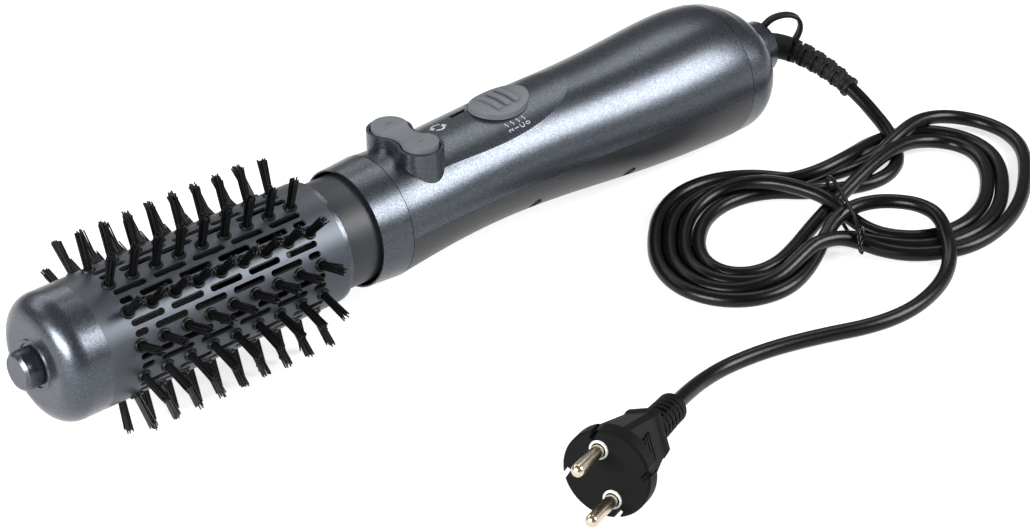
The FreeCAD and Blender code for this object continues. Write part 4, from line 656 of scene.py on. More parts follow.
# %% [markdown]
# The filaments lean outwards from each other, and no two are the same length, so that
# the tip of a tuft looks ragged. Real ones are much finer and there are more of them;
# eighteen of nearly 1 mm fill the same bunch. They are set on a spiral that turns by the
# golden angle, which spreads them evenly. Each row is one piece, because its nine tufts
# are moulded on one strip that slides under the barrel's wall.

# %% Twelve rows of tufts
ROWS, TUFTS, FILAMENTS = 12, 9, 18
TUFT_FIRST, TUFT_PITCH = BARREL_START + 12.5, 10.25
TUFT_TOP = 40.4
FOOT_SPREAD, HEAD_SPREAD = 1.3, 1.75
FOOT_RADIUS, HEAD_RADIUS = 0.42, 0.30
GOLDEN_ANGLE = 2.399
STRIP_LONG, STRIP_WIDE, STRIP_THICK, STRIP_AT = 96, 7.0, 1.6, 22.8
dice = random.Random(7)


def add_filament(form, place, number):
    """One tapered filament of a tuft, leaning out from the middle of the bunch."""
    turn = number * GOLDEN_ANGLE + dice.uniform(-0.2, 0.2)
    spread = math.sqrt(number / FILAMENTS)
    out = Vector((math.cos(turn), math.sin(turn), 0))
    foot = out * spread * FOOT_SPREAD
    head = out * (spread * HEAD_SPREAD + dice.uniform(-0.15, 0.35))
    foot.z = BARREL_RADIUS - 0.2
    head.z = TUFT_TOP - dice.uniform(0.0, 2.4) - spread * 0.8
    lean = head - foot
    made = bmesh.ops.create_cone(form, cap_ends=True, segments=5, radius1=FOOT_RADIUS * MM,
                                 radius2=HEAD_RADIUS * MM, depth=lean.length * MM)["verts"]
    turned = Vector((0, 0, 1)).rotation_difference(lean).to_matrix().to_4x4()
    bmesh.ops.transform(form, matrix=place @ Matrix.Translation((foot + head) / 2 * MM) @ turned, verts=made)


for row in range(ROWS):
    form = bmesh.new()
    angle = 15 + 360 / ROWS * row
    middle = stand(TUFT_FIRST + TUFT_PITCH * (TUFTS - 1) / 2, angle)
    add_block(form, middle @ Matrix.Translation((0, 0, STRIP_AT * MM)), STRIP_LONG, STRIP_WIDE, STRIP_THICK)
    for tuft in range(TUFTS):
        place = stand(TUFT_FIRST + TUFT_PITCH * tuft, angle)
        add_cup(form, place)
        for number in range(FILAMENTS):
            add_filament(form, place, number + 0.5)
    make_piece(form, f"tufts_{row + 1:02d}", "barrel", "bristle_nylon", [f"bristle_row_{row + 1:02d}"])

# %% [markdown]
# ## The tail cap
# The tail cap closes both shells. It is turned in one profile: a short straight band, a
# round shoulder and a stub for the swivel, with a spigot that goes into the shells. The
# profile goes all the way round the cap's wall and is spun round the axis, which keeps
# the shoulder smooth.

# %% Spin the tail cap
CAP_START, CAP_RADIUS, CAP_WALL = 350.7, 30.0, 2.0
SHOULDER_START, SHOULDER_END, SHOULDER_STEPS = 357.5, 372.6, 12
STUB_RADIUS, STUB_END, STUB_BORE, STUB_DEPTH = 11.8, 386.8, 6.4, 12.0
FOOT_OF_SHOULDER = STUB_RADIUS + 0.8
SPIGOT_START = 346.0
CAP_STEPS = 96


def shoulder(inset):
    """Points (x, radius) round the shoulder, moved inwards by inset mm."""
    wide, deep = CAP_RADIUS - FOOT_OF_SHOULDER, SHOULDER_END - SHOULDER_START
    turns = [math.radians(90 * n / SHOULDER_STEPS) for n in range(SHOULDER_STEPS + 1)]
    return [(SHOULDER_START + (deep - inset) * math.sin(turn),
             FOOT_OF_SHOULDER + (wide - inset) * math.cos(turn) ** 0.9) for turn in turns]


outside = [(CAP_START, CAP_RADIUS - 0.5), (CAP_START + 0.35, CAP_RADIUS)] + shoulder(0)
stub = [(SHOULDER_END + 0.5, STUB_RADIUS), (STUB_END - 0.9, STUB_RADIUS), (STUB_END - 0.3, STUB_RADIUS - 0.3),
        (STUB_END, STUB_RADIUS - 1.0), (STUB_END, STUB_BORE + 0.6), (STUB_END - 0.5, STUB_BORE),
        (STUB_END - STUB_DEPTH, STUB_BORE)]
inner_radius = CAP_RADIUS - CAP_WALL
inside = shoulder(CAP_WALL)[::-1] + [(CAP_START + 1.3, inner_radius), (SPIGOT_START, inner_radius - 0.3),
                                     (SPIGOT_START, inner_radius + 0.2), (CAP_START, inner_radius + 0.3)]
form = bmesh.new()
spin_run(form, [(x, 0, r) for x, r in outside + stub + inside], (1, 0, 0), CAP_STEPS)
bmesh.ops.remove_doubles(form, verts=form.verts, dist=1e-7)
bmesh.ops.recalc_face_normals(form, faces=form.faces)
print("the cap's wall has", len(form.verts), "points")

# %% [markdown]
# The shoulder isn't quite round: its upper side slopes away sooner than its lower side.
# While the cap is still upright, its points are lowered, most at the top of the shoulder
# and not at all at its foot, at the stub and at the edge that meets the shells.

# %% Slope the shoulder
DIP = 3.4
DIP_IN_LENGTH, DIP_IN_RADIUS = 10, 8
for vertex in form.verts:
    radius = math.hypot(vertex.co.y, vertex.co.z)
    past_edge = min(1.0, max(0.0, (vertex.co.x / MM - CAP_START) / DIP_IN_LENGTH)) ** 1.5
    past_stub = min(1.0, max(0.0, (radius / MM - STUB_RADIUS - 0.9) / DIP_IN_RADIUS))
    on_top = max(0.0, vertex.co.z / radius) ** 1.5
    vertex.co.z -= DIP * MM * past_edge * past_stub * on_top
form.transform(LAY)
cap_piece = make_piece(form, "tail_cap", "handle", "graphite_paint", ["rear_cap"])

# %% [markdown]
# The motor draws its air in through slots in the underside of the cap. They are narrow
# blocks, cut out of the shell with a Boolean, because their ends are square.

# %% Cut the intake slots
INTAKE_SLOTS, INTAKE_PITCH = 7, 11
INTAKE_X, INTAKE_RADIUS = 362, 28
INTAKE_LONG, INTAKE_WIDE, INTAKE_DEEP = 12, 2.2, 14
cutter = bmesh.new()
for number in range(INTAKE_SLOTS):
    turn = 180 + INTAKE_PITCH * (number - (INTAKE_SLOTS - 1) / 2)
    out = Matrix.Rotation(math.radians(turn), 4, "X")
    place = LAY @ out @ Matrix.Translation((INTAKE_X * MM, 0, INTAKE_RADIUS * MM))
    add_block(cutter, place, INTAKE_LONG, INTAKE_WIDE, INTAKE_DEEP)
cutter_mesh = bpy.data.meshes.new("slot_blocks")
cutter.to_mesh(cutter_mesh)
cutter.free()
slot_blocks = bpy.data.objects.new("slot_blocks", cutter_mesh)
bpy.context.scene.collection.objects.link(slot_blocks)
cut = cap_piece.modifiers.new("intake slots", "BOOLEAN")
cut.operation = "DIFFERENCE"
cut.object = slot_blocks
cut.solver = "EXACT"
bpy.context.view_layer.update()
ready = cap_piece.evaluated_get(bpy.context.evaluated_depsgraph_get())
slotted = bpy.data.meshes.new_from_object(ready)
cap_piece.modifiers.clear()
cap_piece.data = slotted
bpy.data.objects.remove(slot_blocks)
slotted.set_sharp_from_angle(angle=math.radians(SHARP))
print("the slotted cap has", len(slotted.polygons), "faces")

# %% [markdown]
# ## The strain relief
# The strain relief is one flexible PVC moulding that turns in the swivel. Everything on
# it follows a bent line, and so do the hanging loop and the wire tie. The helpers give a
# smooth line, a frame at each of its points and a frame at any distance along it.

# %% Places along a bent line
LINE_STEPS = 12


def smooth_line(points):
    """The points of a quadratic NURBS line along a run in mm, in metres."""
    return line_of(nurbs_curve("line", points, LINE_STEPS))


def frames_along(line, side):
    """A matrix for each point of a line: x along it and z as near as can be to side."""
    frames = []
    for number, point in enumerate(line):
        ahead = (line[min(number + 1, len(line) - 1)] - line[max(number - 1, 0)]).normalized()
        across = Vector(side).cross(ahead).normalized()
        turned = Matrix((ahead, across, ahead.cross(across))).transposed().to_4x4()
        frames.append(Matrix.Translation(point) @ turned)
    return frames


def at_length(line, frames, distance):
    """The frame of the point that lies distance mm along the line."""
    gone = 0.0
    for number in range(1, len(line)):
        step = (line[number] - line[number - 1]).length / MM
        if gone + step >= distance:
            return frames[number - 1].lerp(frames[number], (distance - gone) / step)
        gone += step
    return frames[-1]


relief_route = [(188.0, 0.0, 28.9), (194.5, -0.6, 29.2), (200.5, -5.5, 28.9), (205.4, -15.0, 26.6),
                (208.4, -27.0, 22.6), (209.3, -36.0, 19.2), (209.2, -44.5, 15.6)]
relief_line = smooth_line(relief_route)
relief_frames = frames_along(relief_line, (0, 0, 1))
print("the relief's line has", len(relief_line), "points")

# %% [markdown]
# Two helpers make what sits on such a line. A sweep draws one ring of edges on each
# frame, bridges every ring to the next and fills both ends. A rib is a disc across the
# line whose rims are bevelled.

# %% Sweeps and ribs
DISC_STEPS = 28
SOFT_EDGE = 0.3


def sweep(form, frames, section):
    """Bridges copies of a section of (y, z) in mm, one on each frame, and fills both ends."""
    rings = []
    for number, place in enumerate(frames):
        corners = section(number / (len(frames) - 1))
        points = [form.verts.new(place @ Vector((0, y * MM, z * MM))) for y, z in corners]
        rings.append([form.edges.new(pair) for pair in zip(points, points[1:] + points[:1])])
    made = []
    for before, after in zip(rings, rings[1:]):
        made += bmesh.ops.bridge_loops(form, edges=before + after)["faces"]
    for ring in (rings[0], rings[-1]):
        made += bmesh.ops.contextual_create(form, geom=ring)["faces"]
    bmesh.ops.recalc_face_normals(form, faces=made)


def round_section(start, end, steps=DISC_STEPS):
    """A circle whose radius goes from start to end along a sweep."""
    def section(share):
        radius = start + (end - start) * share
        turns = [2 * math.pi * n / steps for n in range(steps)]
        return [(radius * math.cos(turn), radius * math.sin(turn)) for turn in turns]
    return section


def disc(form, place, radius, thickness):
    """A rib: a disc across the line with soft edges."""
    verts = bmesh.ops.create_cone(form, cap_ends=True, segments=DISC_STEPS, radius1=radius * MM,
                                  radius2=radius * MM, depth=thickness * MM)["verts"]
    rims = dict.fromkeys(e for v in verts for e in v.link_edges
                         if abs(e.verts[0].co.z - e.verts[1].co.z) < 1e-7)
    made = bmesh.ops.bevel(form, geom=list(rims), offset=SOFT_EDGE * MM, segments=2, profile=0.5,
                           affect="EDGES", material=-1)
    whole = list({v for f in made["faces"] for v in f.verts} | {v for v in verts if v.is_valid})
    bmesh.ops.transform(form, matrix=place @ Matrix.Rotation(math.pi / 2, 4, "Y"), verts=whole)


print("ribs have", DISC_STEPS, "sides and edges of", SOFT_EDGE, "mm")

# %% [markdown]
# The relief's root is plain and round. Behind it come ribs on a thin core, with windows
# between them, so that the relief bends in an even curve. Bars join each rib to the
# next, at the sides and at the top and bottom in turn, which leaves the windows.

# %% Mould the strain relief
ROOT_LENGTH = 20.0
RIBS, RIB_PITCH, RIB_THICK = 10, 2.95, 1.9
RIB_FIRST, RIB_LAST = 5.3, 4.2
COLLAR_RADIUS, COLLAR_THICK = 4.7, 2.2
RELIEF_BAR = (1.4, 5.6, 1.3)


def on_relief(distance):
    """The frame that lies this far along the relief, in mm."""
    return at_length(relief_line, relief_frames, distance)


def add_bar(form, place, turn, radius, sides):
    """A bar beside the core: turned this many degrees round the line, radius mm away from it."""
    out = Matrix.Rotation(math.radians(turn), 4, "X") @ Matrix.Translation((0, 0, radius * MM))
    add_block(form, place @ out, *sides)


form = bmesh.new()
sweep(form, [on_relief(ROOT_LENGTH * n / 12) for n in range(13)], round_section(6.1, 5.4))
core = [on_relief(ROOT_LENGTH - 1 + (RIBS * RIB_PITCH + 2) * n / 16) for n in range(17)]
sweep(form, core, round_section(3.9, 3.3))
for rib in range(RIBS):
    radius = RIB_FIRST + (RIB_LAST - RIB_FIRST) * rib / (RIBS - 1)
    middle = ROOT_LENGTH + RIB_PITCH * (rib + 0.85)
    disc(form, on_relief(middle), radius, RIB_THICK)
    for turn in ((55, -125) if rib % 2 else (-20, 160)):
        add_bar(form, on_relief(middle - RIB_PITCH / 2), turn, radius - 0.95, RELIEF_BAR)
collar_at = ROOT_LENGTH + RIB_PITCH * (RIBS + 0.75)
disc(form, on_relief(collar_at), COLLAR_RADIUS, COLLAR_THICK)
make_piece(form, "moulded_strain_relief", "cord_set", "cord_pvc", ["strain_relief"], matt_pvc, 40)

# %% [markdown]
# The hanging loop is a flat strap of the same PVC, moulded on the root. A rectangular
# section with clipped corners is swept along its bent line. It is a little wider at both
# ends, where it grows out of the root.

# %% Mould the hanging loop
STRAP_THICK, STRAP_WIDE, STRAP_FLARE, STRAP_CLIP = 1.7, 3.6, 0.8, 0.4
loop_route = [(193.0, -0.6, 36.5), (196.4, -2.7, 41.6), (200.8, -5.4, 43.6), (205.4, -8.2, 43.4),
              (208.7, -10.3, 41.0), (209.3, -10.9, 37.0), (208.3, -10.6, 33.6), (206.4, -10.0, 30.6)]


def box_section(wide, thick, clip):
    """A rectangle with clipped corners, as (y, z) points."""
    y, z = wide / 2, thick / 2
    return [(y, z - clip), (y - clip, z), (clip - y, z), (-y, z - clip), (-y, clip - z), (clip - y, -z),
            (y - clip, -z), (y, clip - z)]


def strap(share):
    """The strap's section, lying flat against the root and wider towards both ends."""
    return box_section(STRAP_THICK, STRAP_WIDE + 2 * STRAP_FLARE * abs(share - 0.5), STRAP_CLIP)


form = bmesh.new()
sweep(form, frames_along(smooth_line(loop_route), (-6.5, -10.5, 0)), strap)
make_piece(form, "moulded_hang_loop", "cord_set", "cord_pvc", ["hang_loop"], matt_pvc)

# %% [markdown]
# ## Printed marks
# The handle carries small printed marks: a pair of arrows for the turning barrel, and
# the slide's positions. Ink is printed on a finished surface, so each mark is drawn
# flat, made a mesh and then dropped along the brush's height on to the shell.

# %% Drop a flat mark on to a surface
INK_THICK = 0.05
LONGEST_EDGE = 0.8
DROP_HEIGHT = 50


def print_mark(flat_mesh, name, node, slot_name, x, y, turn, material):
    """Turns a flat mesh in metres, drops it on the node and lifts it by the thickness of ink."""
    form = bmesh.new()
    form.from_mesh(flat_mesh)
    bmesh.ops.remove_doubles(form, verts=form.verts, dist=1e-6)
    long_edges = [e for e in form.edges if e.calc_length() > LONGEST_EDGE * MM]
    bmesh.ops.subdivide_edges(form, edges=long_edges, cuts=2, use_grid_fill=True)
    bmesh.ops.triangulate(form, faces=form.faces)
    above = Matrix.Translation((x * MM, y * MM, DROP_HEIGHT * MM))
    form.transform(LAY @ above @ Matrix.Rotation(math.radians(turn), 4, "Z"))
    shell = frame["nodes"][node].data
    tree = BVHTree.FromPolygons([v.co for v in shell.vertices], [tuple(p.vertices) for p in shell.polygons])
    for vertex in form.verts:
        hit, normal, _, _ = tree.ray_cast(vertex.co, -upward)
        vertex.co = hit + normal * math.copysign(INK_THICK * MM, normal.dot(upward))
    bmesh.ops.recalc_face_normals(form, faces=form.faces)
    if sum(f.normal.dot(upward) for f in form.faces) < 0:
        bmesh.ops.reverse_faces(form, faces=form.faces)
    body = "rocker" if node == "rocker" else "handle"
    return make_piece(form, name, body, slot_name, material=material)


print("the ink is", INK_THICK, "mm thick")

# %% [markdown]
# The marks are characters and strokes. A character is a text curve turned into a mesh.
# A stroke is two chains of edges, one each side of its line, with the gap bridged.

# %% Flat strokes and characters
def flat_mesh_of(form, name):
    """A mesh of a flat bmesh, which is then freed."""
    mesh = bpy.data.meshes.new(name)
    form.to_mesh(mesh)
    form.free()
    return mesh


def add_stroke(form, run, width):
    """A ribbon of the given width along a run of (x, y) in mm: two edge lines, bridged."""
    sides = []
    for half in (width / 2, -width / 2):
        points = []
        for number, point in enumerate(run):
            ahead = Vector(run[min(number + 1, len(run) - 1)]) - Vector(run[max(number - 1, 0)])
            across = Vector((-ahead.y, ahead.x)).normalized() * half
            points.append(form.verts.new((*((Vector(point) + across) * MM), 0)))
        sides += [form.edges.new(pair) for pair in zip(points, points[1:])]
    bmesh.ops.bridge_loops(form, edges=sides)


def flat_text(label, size):
    """A flat mesh of one character, centred."""
    curve = bpy.data.curves.new("mark", "FONT")
    curve.body = label
    curve.size = size * MM
    curve.align_x = "CENTER"
    curve.align_y = "CENTER"
    holder = bpy.data.objects.new("mark", curve)
    mesh = bpy.data.meshes.new_from_object(holder)
    bpy.data.objects.remove(holder)
    return mesh


print("a flat 1 has", len(flat_text("1", 1.0).polygons), "faces")

# %% [markdown]
# Each position of the slide has a character, turned to be read from the tip, with a
# short wavy line beside it for the warm air.

# %% Print the slide's positions
POSITIONS = [("2", "two", 224.8), ("1", "one", 227.8), ("C", "cool", 230.8), ("0", "zero", 233.8)]
LETTER_SIZE, LETTER_Y = 3.1, -14.7
WAVE_LONG, WAVE_HIGH, WAVE_PEN, WAVE_Y, WAVE_STEPS = 2.0, 0.35, 0.32, -12.1, 8
wave = [(WAVE_HIGH * math.sin(n / WAVE_STEPS * 2 * math.pi), (n / WAVE_STEPS - 0.5) * WAVE_LONG)
        for n in range(WAVE_STEPS + 1)]
for label, name, x in POSITIONS:
    print_mark(flat_text(label, LETTER_SIZE), f"mark_{name}", "upper_shell", "white_plastic", x, LETTER_Y,
               90, pale_ink)
    form = bmesh.new()
    add_stroke(form, wave, WAVE_PEN)
    print_mark(flat_mesh_of(form, "wave"), f"line_{name}", "upper_shell", "white_plastic", x - 0.3, WAVE_Y,
               0, pale_ink)

# %% [markdown]
# The turning mark is two arcs that chase each other, each with an arrow head. The
# rocker has a small dash on each lobe, in a darker ink.

# %% Print the turning mark and the dashes
TURN_RADIUS, TURN_PEN = 2.6, 1.0
TURN_START, TURN_STEP, TURN_STEPS = 20, 12.5, 10
form = bmesh.new()
for side in (0, 180):
    angles = [math.radians(side + TURN_START + n * TURN_STEP) for n in range(TURN_STEPS + 1)]
    add_stroke(form, [(TURN_RADIUS * math.cos(a), TURN_RADIUS * math.sin(a)) for a in angles], TURN_PEN)
    head = Matrix.Rotation(angles[-1], 4, "Z")
    corners = [form.verts.new(head @ (Vector(p) * MM))
               for p in ((1.2, -0.2, 0), (4.0, -0.2, 0), (2.5, 2.0, 0))]
    bmesh.ops.contextual_create(form, geom=corners)
print_mark(flat_mesh_of(form, "arrows"), "mark_turning", "upper_shell", "white_plastic", 202.0, 3.8, 15,
           pale_ink)
for name, y in (("left", 10.2), ("right", -9.6)):
    form = bmesh.new()
    add_stroke(form, [(-1.5, 0), (0, 0.1), (1.5, 0)], 0.45)
    print_mark(flat_mesh_of(form, "dash"), f"dash_{name}", "rocker", "switch_plastic", 182.0, y, 0, dark_ink)

# %% [markdown]
# ## The wire tie
# The hank is held by a piece of PVC covered wire, bent round the strands and twisted.
# It is one thin tube swept along a line: once round the bundle, a little further along
# the brush at its end than at its start, with two ends that wind round each other.

# %% Twist the tie
TIE_WIRE, TIE_STEPS = 0.85, 20
TIE_START, TIE_ADVANCE = 35, 2.0
TIE_HALF, TIE_HIGH = 23.8, 7.6
TWIST_STEPS, TWIST_TURN, TWIST_RADIUS = 10, 1.3, 0.95
tie_middle = Vector((139.6, -98.3, 8.0))
tie_across = Vector((-0.52, -0.85, 0)).normalized()
tie_ring = []
for n in range(TIE_STEPS + 1):
    turn = math.radians(TIE_START + 360 * n / TIE_STEPS)
    wide = math.copysign(abs(math.cos(turn)) ** 0.6, math.cos(turn)) * TIE_HALF
    high = math.copysign(abs(math.sin(turn)) ** 0.8, math.sin(turn)) * TIE_HIGH
    place = tie_middle + tie_across * wide + Vector((0, 0, high)) + along * TIE_ADVANCE * n / TIE_STEPS
    place.z = max(place.z, 1.0)
    tie_ring.append(tuple(place))
twist_start = tie_middle + tie_across * (TIE_HALF - 2.0) + Vector((0, 0, 4.0))
twist_along = Vector((-0.45, -0.6, -0.6)).normalized()
runs = [tie_ring]
for side, start in ((0, tie_ring[-1]), (math.pi, tie_ring[0])):
    run = [start]
    for n in range(TWIST_STEPS):
        turn = side + n * TWIST_TURN
        wound = Vector((math.cos(turn), 0.2, math.sin(turn))) * TWIST_RADIUS
        run.append(tuple(twist_start + twist_along * n + wound))
    runs.append(run)
form = bmesh.new()
for run in runs:
    sweep(form, frames_along(smooth_line(run), (0.31, 0.2, 0.93)), round_section(TIE_WIRE, TIE_WIRE, 8))
for vertex in form.verts:
    vertex.co.z = max(vertex.co.z, 0.2 * MM)
make_piece(form, "twisted_wire_tie", "cord_set", "cord_pvc", ["cord_tie"], sharp=60)

# %% [markdown]
# ## The plug
# The plug is one moulding of black PVC round two pins. Its flange is a disc with four
# narrow notches that set two ears apart; behind it a flat grip tapers to a pair of
# shoulders, and a short ribbed relief holds the cord. Each part is a section swept along
# the plug's own axis, which keeps every edge where it can be measured.

# %% The plug's own frame and the flange's outline
FLANGE_RADIUS, FLANGE_THICK = 16.8, 7.0
EAR_START, BAND_HALF, NOTCH_FLOOR = 13.0, 11.0, 8.2
EAR_TURN = 43
ARC_STEPS = 12
pin_line = Vector((-0.2, 0.26, 0.94))
pin_line = (pin_line - plug_axis * pin_line.dot(plug_axis)).normalized()
plug_turned = Matrix((plug_axis, pin_line, plug_axis.cross(pin_line))).transposed().to_4x4()
PLUG = Matrix.Translation(plug_face * MM) @ plug_turned


def on_plug(*stations):
    """A frame at each distance in mm from the plug's face; the cord's side is negative."""
    return [PLUG @ Matrix.Translation((x * MM, 0, 0)) for x in stations]


def rim(first, span):
    """Points on the flange's rim over a span of degrees."""
    turns = [math.radians(first + span * n / ARC_STEPS) for n in range(ARC_STEPS + 1)]
    return [(FLANGE_RADIUS * math.cos(turn), FLANGE_RADIUS * math.sin(turn)) for turn in turns]


def flange_outline():
    """The disc with its four notches, as (y, z) points, ears turned off the pin line."""
    ear = math.degrees(math.acos(EAR_START / FLANGE_RADIUS))
    band = math.degrees(math.acos(BAND_HALF / FLANGE_RADIUS))
    points = []
    for side, sign in ((0, 1), (180, -1)):
        points += rim(side - ear, 2 * ear)
        points += [(sign * EAR_START, sign * NOTCH_FLOOR), (sign * BAND_HALF, sign * NOTCH_FLOOR)]
        points += rim(side + band, 180 - 2 * band)
        points += [(-sign * BAND_HALF, sign * NOTCH_FLOOR), (-sign * EAR_START, sign * NOTCH_FLOOR)]
    turn = Matrix.Rotation(math.radians(EAR_TURN), 2)
    return [tuple(turn @ Vector(p)) for p in points]


flange = flange_outline()
print("the flange's outline has", len(flange), "points")

# %% [markdown]
# The body is four sweeps: the flange with soft rims, the grip, the shoulders and the
# relief's core. Raised ridges cross the flat of the grip on both sides, and the ribs
# with their bars are made as on the brush's own relief.

# %% Mould the plug
GRIP_START, GRIP_END, SHOULDER_BACK, PLUG_LENGTH = -9.0, -33.0, -37.5, -58.0
FLANGE_RIM = [0.955, 1.0, 1.0, 0.955]
GRIP = [(29.0, 18.5), (28.0, 18.0), (18.0, 13.0)]
SHOULDERS = [(18.4, 13.2), (19.2, 14.4), (18.6, 14.0), (13.0, 12.0)]
RIDGES, RIDGE_FIRST, RIDGE_PITCH, RIDGE = 5, -13.5, 2.3, (1.2, 10.5, 1.3)
PLUG_RIBS, PLUG_RIB_PITCH, PLUG_RIB_THICK = 5, 3.35, 2.1
PLUG_BAR = (PLUG_RIB_PITCH, 3.6, 1.5)


def stepped(values, share):
    """The value for this share of a sweep that has one frame for each value."""
    return values[round(share * (len(values) - 1))]


def flange_section(share):
    """The flange's outline, a little smaller at both faces."""
    return [(y * stepped(FLANGE_RIM, share), z * stepped(FLANGE_RIM, share)) for y, z in flange]


form = bmesh.new()
sweep(form, on_plug(0, -0.8, 0.8 - FLANGE_THICK, -FLANGE_THICK), flange_section)
sweep(form, on_plug(-5.0, GRIP_START, GRIP_END), lambda share: box_section(*stepped(GRIP, share), 1.8))
sweep(form, on_plug(GRIP_END + 1.0, GRIP_END - 0.6, GRIP_END - 3.0, SHOULDER_BACK),
      lambda share: box_section(*stepped(SHOULDERS, share), 2.0))
sweep(form, on_plug(SHOULDER_BACK + 1, PLUG_LENGTH + 1.0), round_section(4.6, 4.2))
for side in (0, 180):
    for ridge in range(RIDGES):
        x = RIDGE_FIRST - RIDGE_PITCH * ridge
        flat_height = 9.0 - 2.5 * (GRIP_START - x) / (GRIP_START - GRIP_END)
        add_bar(form, on_plug(x)[0], side, flat_height, RIDGE)
for rib in range(PLUG_RIBS):
    x = SHOULDER_BACK - 1.6 - PLUG_RIB_PITCH * rib
    radius = 6.5 - 0.12 * rib
    disc(form, on_plug(x)[0], radius, PLUG_RIB_THICK)
    for turn in (20, 110, 200, 290):
        add_bar(form, on_plug(x + PLUG_RIB_PITCH / 2)[0], turn, radius - 1.15, PLUG_BAR)
disc(form, on_plug(PLUG_LENGTH + 2.2)[0], 6.0, 3.6)
plug_piece = make_piece(form, "moulded_plug", "cord_set", "black_plastic", ["plug_body"], sharp=28)

# %% [markdown]
# The pins are turned brass rods with round tips, nickel plated. A white ring closes the
# seam between each pin and the face. Both are lathe parts, so both are spun profiles.
# How far the pins stand apart is measured on the CAD pins.

# %% Turn the pins and their rings
PIN_RADIUS, PIN_LENGTH = 2.4, 19.0
PIN_ROOT, PIN_CORE = -2.0, 0.05
RING_RADIUS, RING_BORE = 3.6, 2.8
PIN_STEPS = 32
reach = max((v.co - plug_face * MM).dot(pin_line) for v in frame["nodes"]["plug_pins"].data.vertices) / MM
pin_offset = reach - PIN_RADIUS


def turned_on_plug(profile, name, slot_name, node):
    """A piece that is a closed profile of (x, radius), spun on each pin's axis."""
    form = bmesh.new()
    for side in (1, -1):
        faces = spin_run(form, [(x, 0, r) for x, r in profile], (1, 0, 0), PIN_STEPS)
        pin = PLUG @ Matrix.Translation((0, side * pin_offset * MM, 0))
        bmesh.ops.transform(form, matrix=pin, verts=list({v for f in faces for v in f.verts}))
    bmesh.ops.remove_doubles(form, verts=form.verts, dist=1e-6)
    bmesh.ops.recalc_face_normals(form, faces=form.faces)
    make_piece(form, name, "cord_set", slot_name, [node], sharp=40)


tip = [(PIN_LENGTH - PIN_RADIUS * 0.8 * (1 - math.sin(math.radians(a))),
        PIN_RADIUS * math.cos(math.radians(a))) for a in (0, 15, 30, 45, 60, 75, 88)]
turned_on_plug([(PIN_ROOT, PIN_CORE), (PIN_ROOT, PIN_RADIUS)] + tip + [(PIN_LENGTH, PIN_CORE)],
               "turned_pins", "nickel", "plug_pins")
turned_on_plug([(-1.0, RING_BORE), (-1.0, RING_RADIUS), (0.45, RING_RADIUS), (0.75, RING_RADIUS - 0.25),
                (0.75, RING_BORE + 0.1), (0.5, RING_BORE)],
               "white_pin_rings", "white_plastic", "plug_pin_collars")
print("pins stand", round(2 * pin_offset, 1), "mm apart")

# %% [markdown]

# %% [markdown]
# ## The room
# The brush lies on a plain pale floor that runs on as the background. A camera ray sees
# the floor a little brighter than its lit colour, so that it reaches white and still
# keeps the soft shadow under the brush. Mirror and glass rays see the same, so that the
# metal shows that background too.

# %% The floor
FLOOR_HALF = 6
FLOOR_LIFT = 0.72
floor_material, tree, shader, place = new_material("pale_paper")
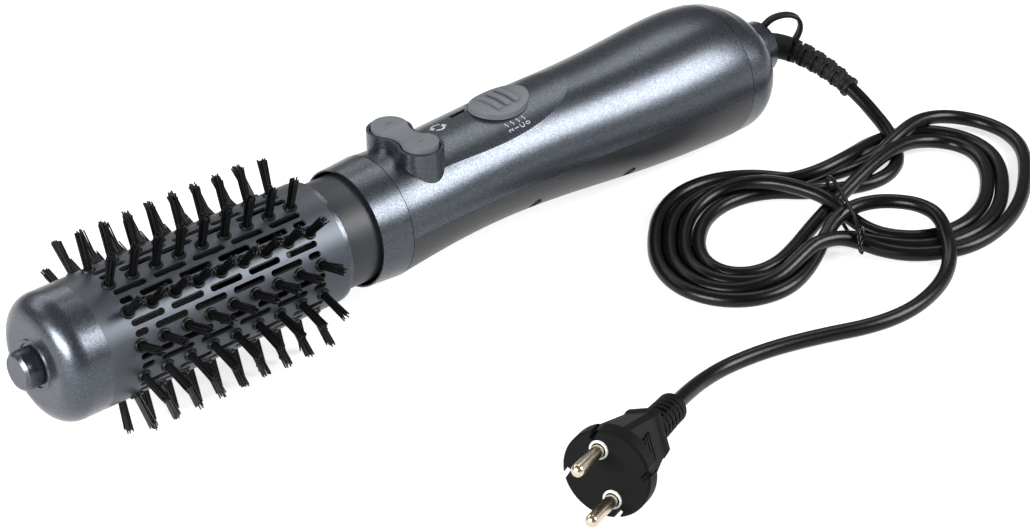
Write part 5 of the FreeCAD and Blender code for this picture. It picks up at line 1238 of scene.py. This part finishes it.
# White paper, uncoated: matt, with fibres that cloud its tone over about 17 mm.
paper = add(tree, "ShaderNodeTexNoise", {"Scale": 60.0, "Detail": 2.0}, {"Vector": place})
tone = add(tree, "ShaderNodeMix", {"data_type": "RGBA", 6: linear("#a6a6a6"), 7: linear("#aaaaaa")},
           {0: paper.outputs["Fac"]})
tree.links.new(tone.outputs[2], shader.inputs["Base Color"])
shader.inputs["Roughness"].default_value = 0.9
shader.inputs["Specular IOR Level"].default_value = 0.1
rays = add(tree, "ShaderNodeLightPath").outputs
seen = add(tree, "ShaderNodeMath", {"operation": "MAXIMUM"},
           {0: rays["Is Camera Ray"], 1: rays["Is Glossy Ray"]})
through = add(tree, "ShaderNodeMath", {"operation": "MAXIMUM"},
              {0: seen.outputs[0], 1: rays["Is Transmission Ray"]})
lift = add(tree, "ShaderNodeMath", {"operation": "MULTIPLY", 1: FLOOR_LIFT}, {0: through.outputs[0]})
glow = add(tree, "ShaderNodeEmission", {"Color": (1, 1, 1, 1)}, {"Strength": lift.outputs[0]})
both = add(tree, "ShaderNodeAddShader", links={0: shader.outputs[0], 1: glow.outputs[0]})
tree.links.new(both.outputs[0], tree.get_output_node("ALL").inputs["Surface"])
form = bmesh.new()
bmesh.ops.create_grid(form, x_segments=1, y_segments=1, size=FLOOR_HALF)
floor_mesh = flat_mesh_of(form, "floor")
floor_mesh.materials.append(floor_material)
floor = bpy.data.objects.new("floor", floor_mesh)
bpy.context.scene.collection.objects.link(floor)
print("the floor is", 2 * FLOOR_HALF, "m wide")

# %% [markdown]
# A dim, slightly cool world fills the shadows. Four large soft lamps do the rest, as in
# a product studio: the front one draws the broad highlight along the handle, the left one
# lights the tip, and the back and top ones draw the upper edge.

# %% World and lamps
world = bpy.data.worlds.new("studio")
bpy.context.scene.world = world
world.use_nodes = True
tree = world.node_tree
tree.nodes.clear()
studio = add(tree, "ShaderNodeBackground", {"Color": (0.78, 0.8, 0.83, 1), "Strength": 0.24})
add(tree, "ShaderNodeOutputWorld", links={"Surface": studio.outputs[0]})


def lamp(name, place, aim_x, size, power):
    """A rectangular soft lamp, in metres and watts, that faces a place on the brush."""
    light = bpy.data.lights.new(name, "AREA")
    light.shape = "RECTANGLE"
    light.size, light.size_y = size
    light.energy = power
    holder = bpy.data.objects.new(name, light)
    aim = (Vector((aim_x, 0.0, 0.03)) - Vector(place)).to_track_quat("-Z", "Y")
    holder.matrix_world = Matrix.Translation(place) @ aim.to_matrix().to_4x4()
    bpy.context.scene.collection.objects.link(holder)


lamp("front_right", (0.72, -0.88, 0.72), 0.02, (0.7, 0.6), 24)
lamp("left", (-0.80, -0.16, 0.34), -0.17, (0.5, 0.26), 14)
lamp("back", (-0.1, 1.0, 0.85), -0.05, (1.6, 0.5), 8)
lamp("top_right", (0.75, 0.4, 1.1), 0.05, (0.6, 0.5), 3.5)
print("four lamps are lit")
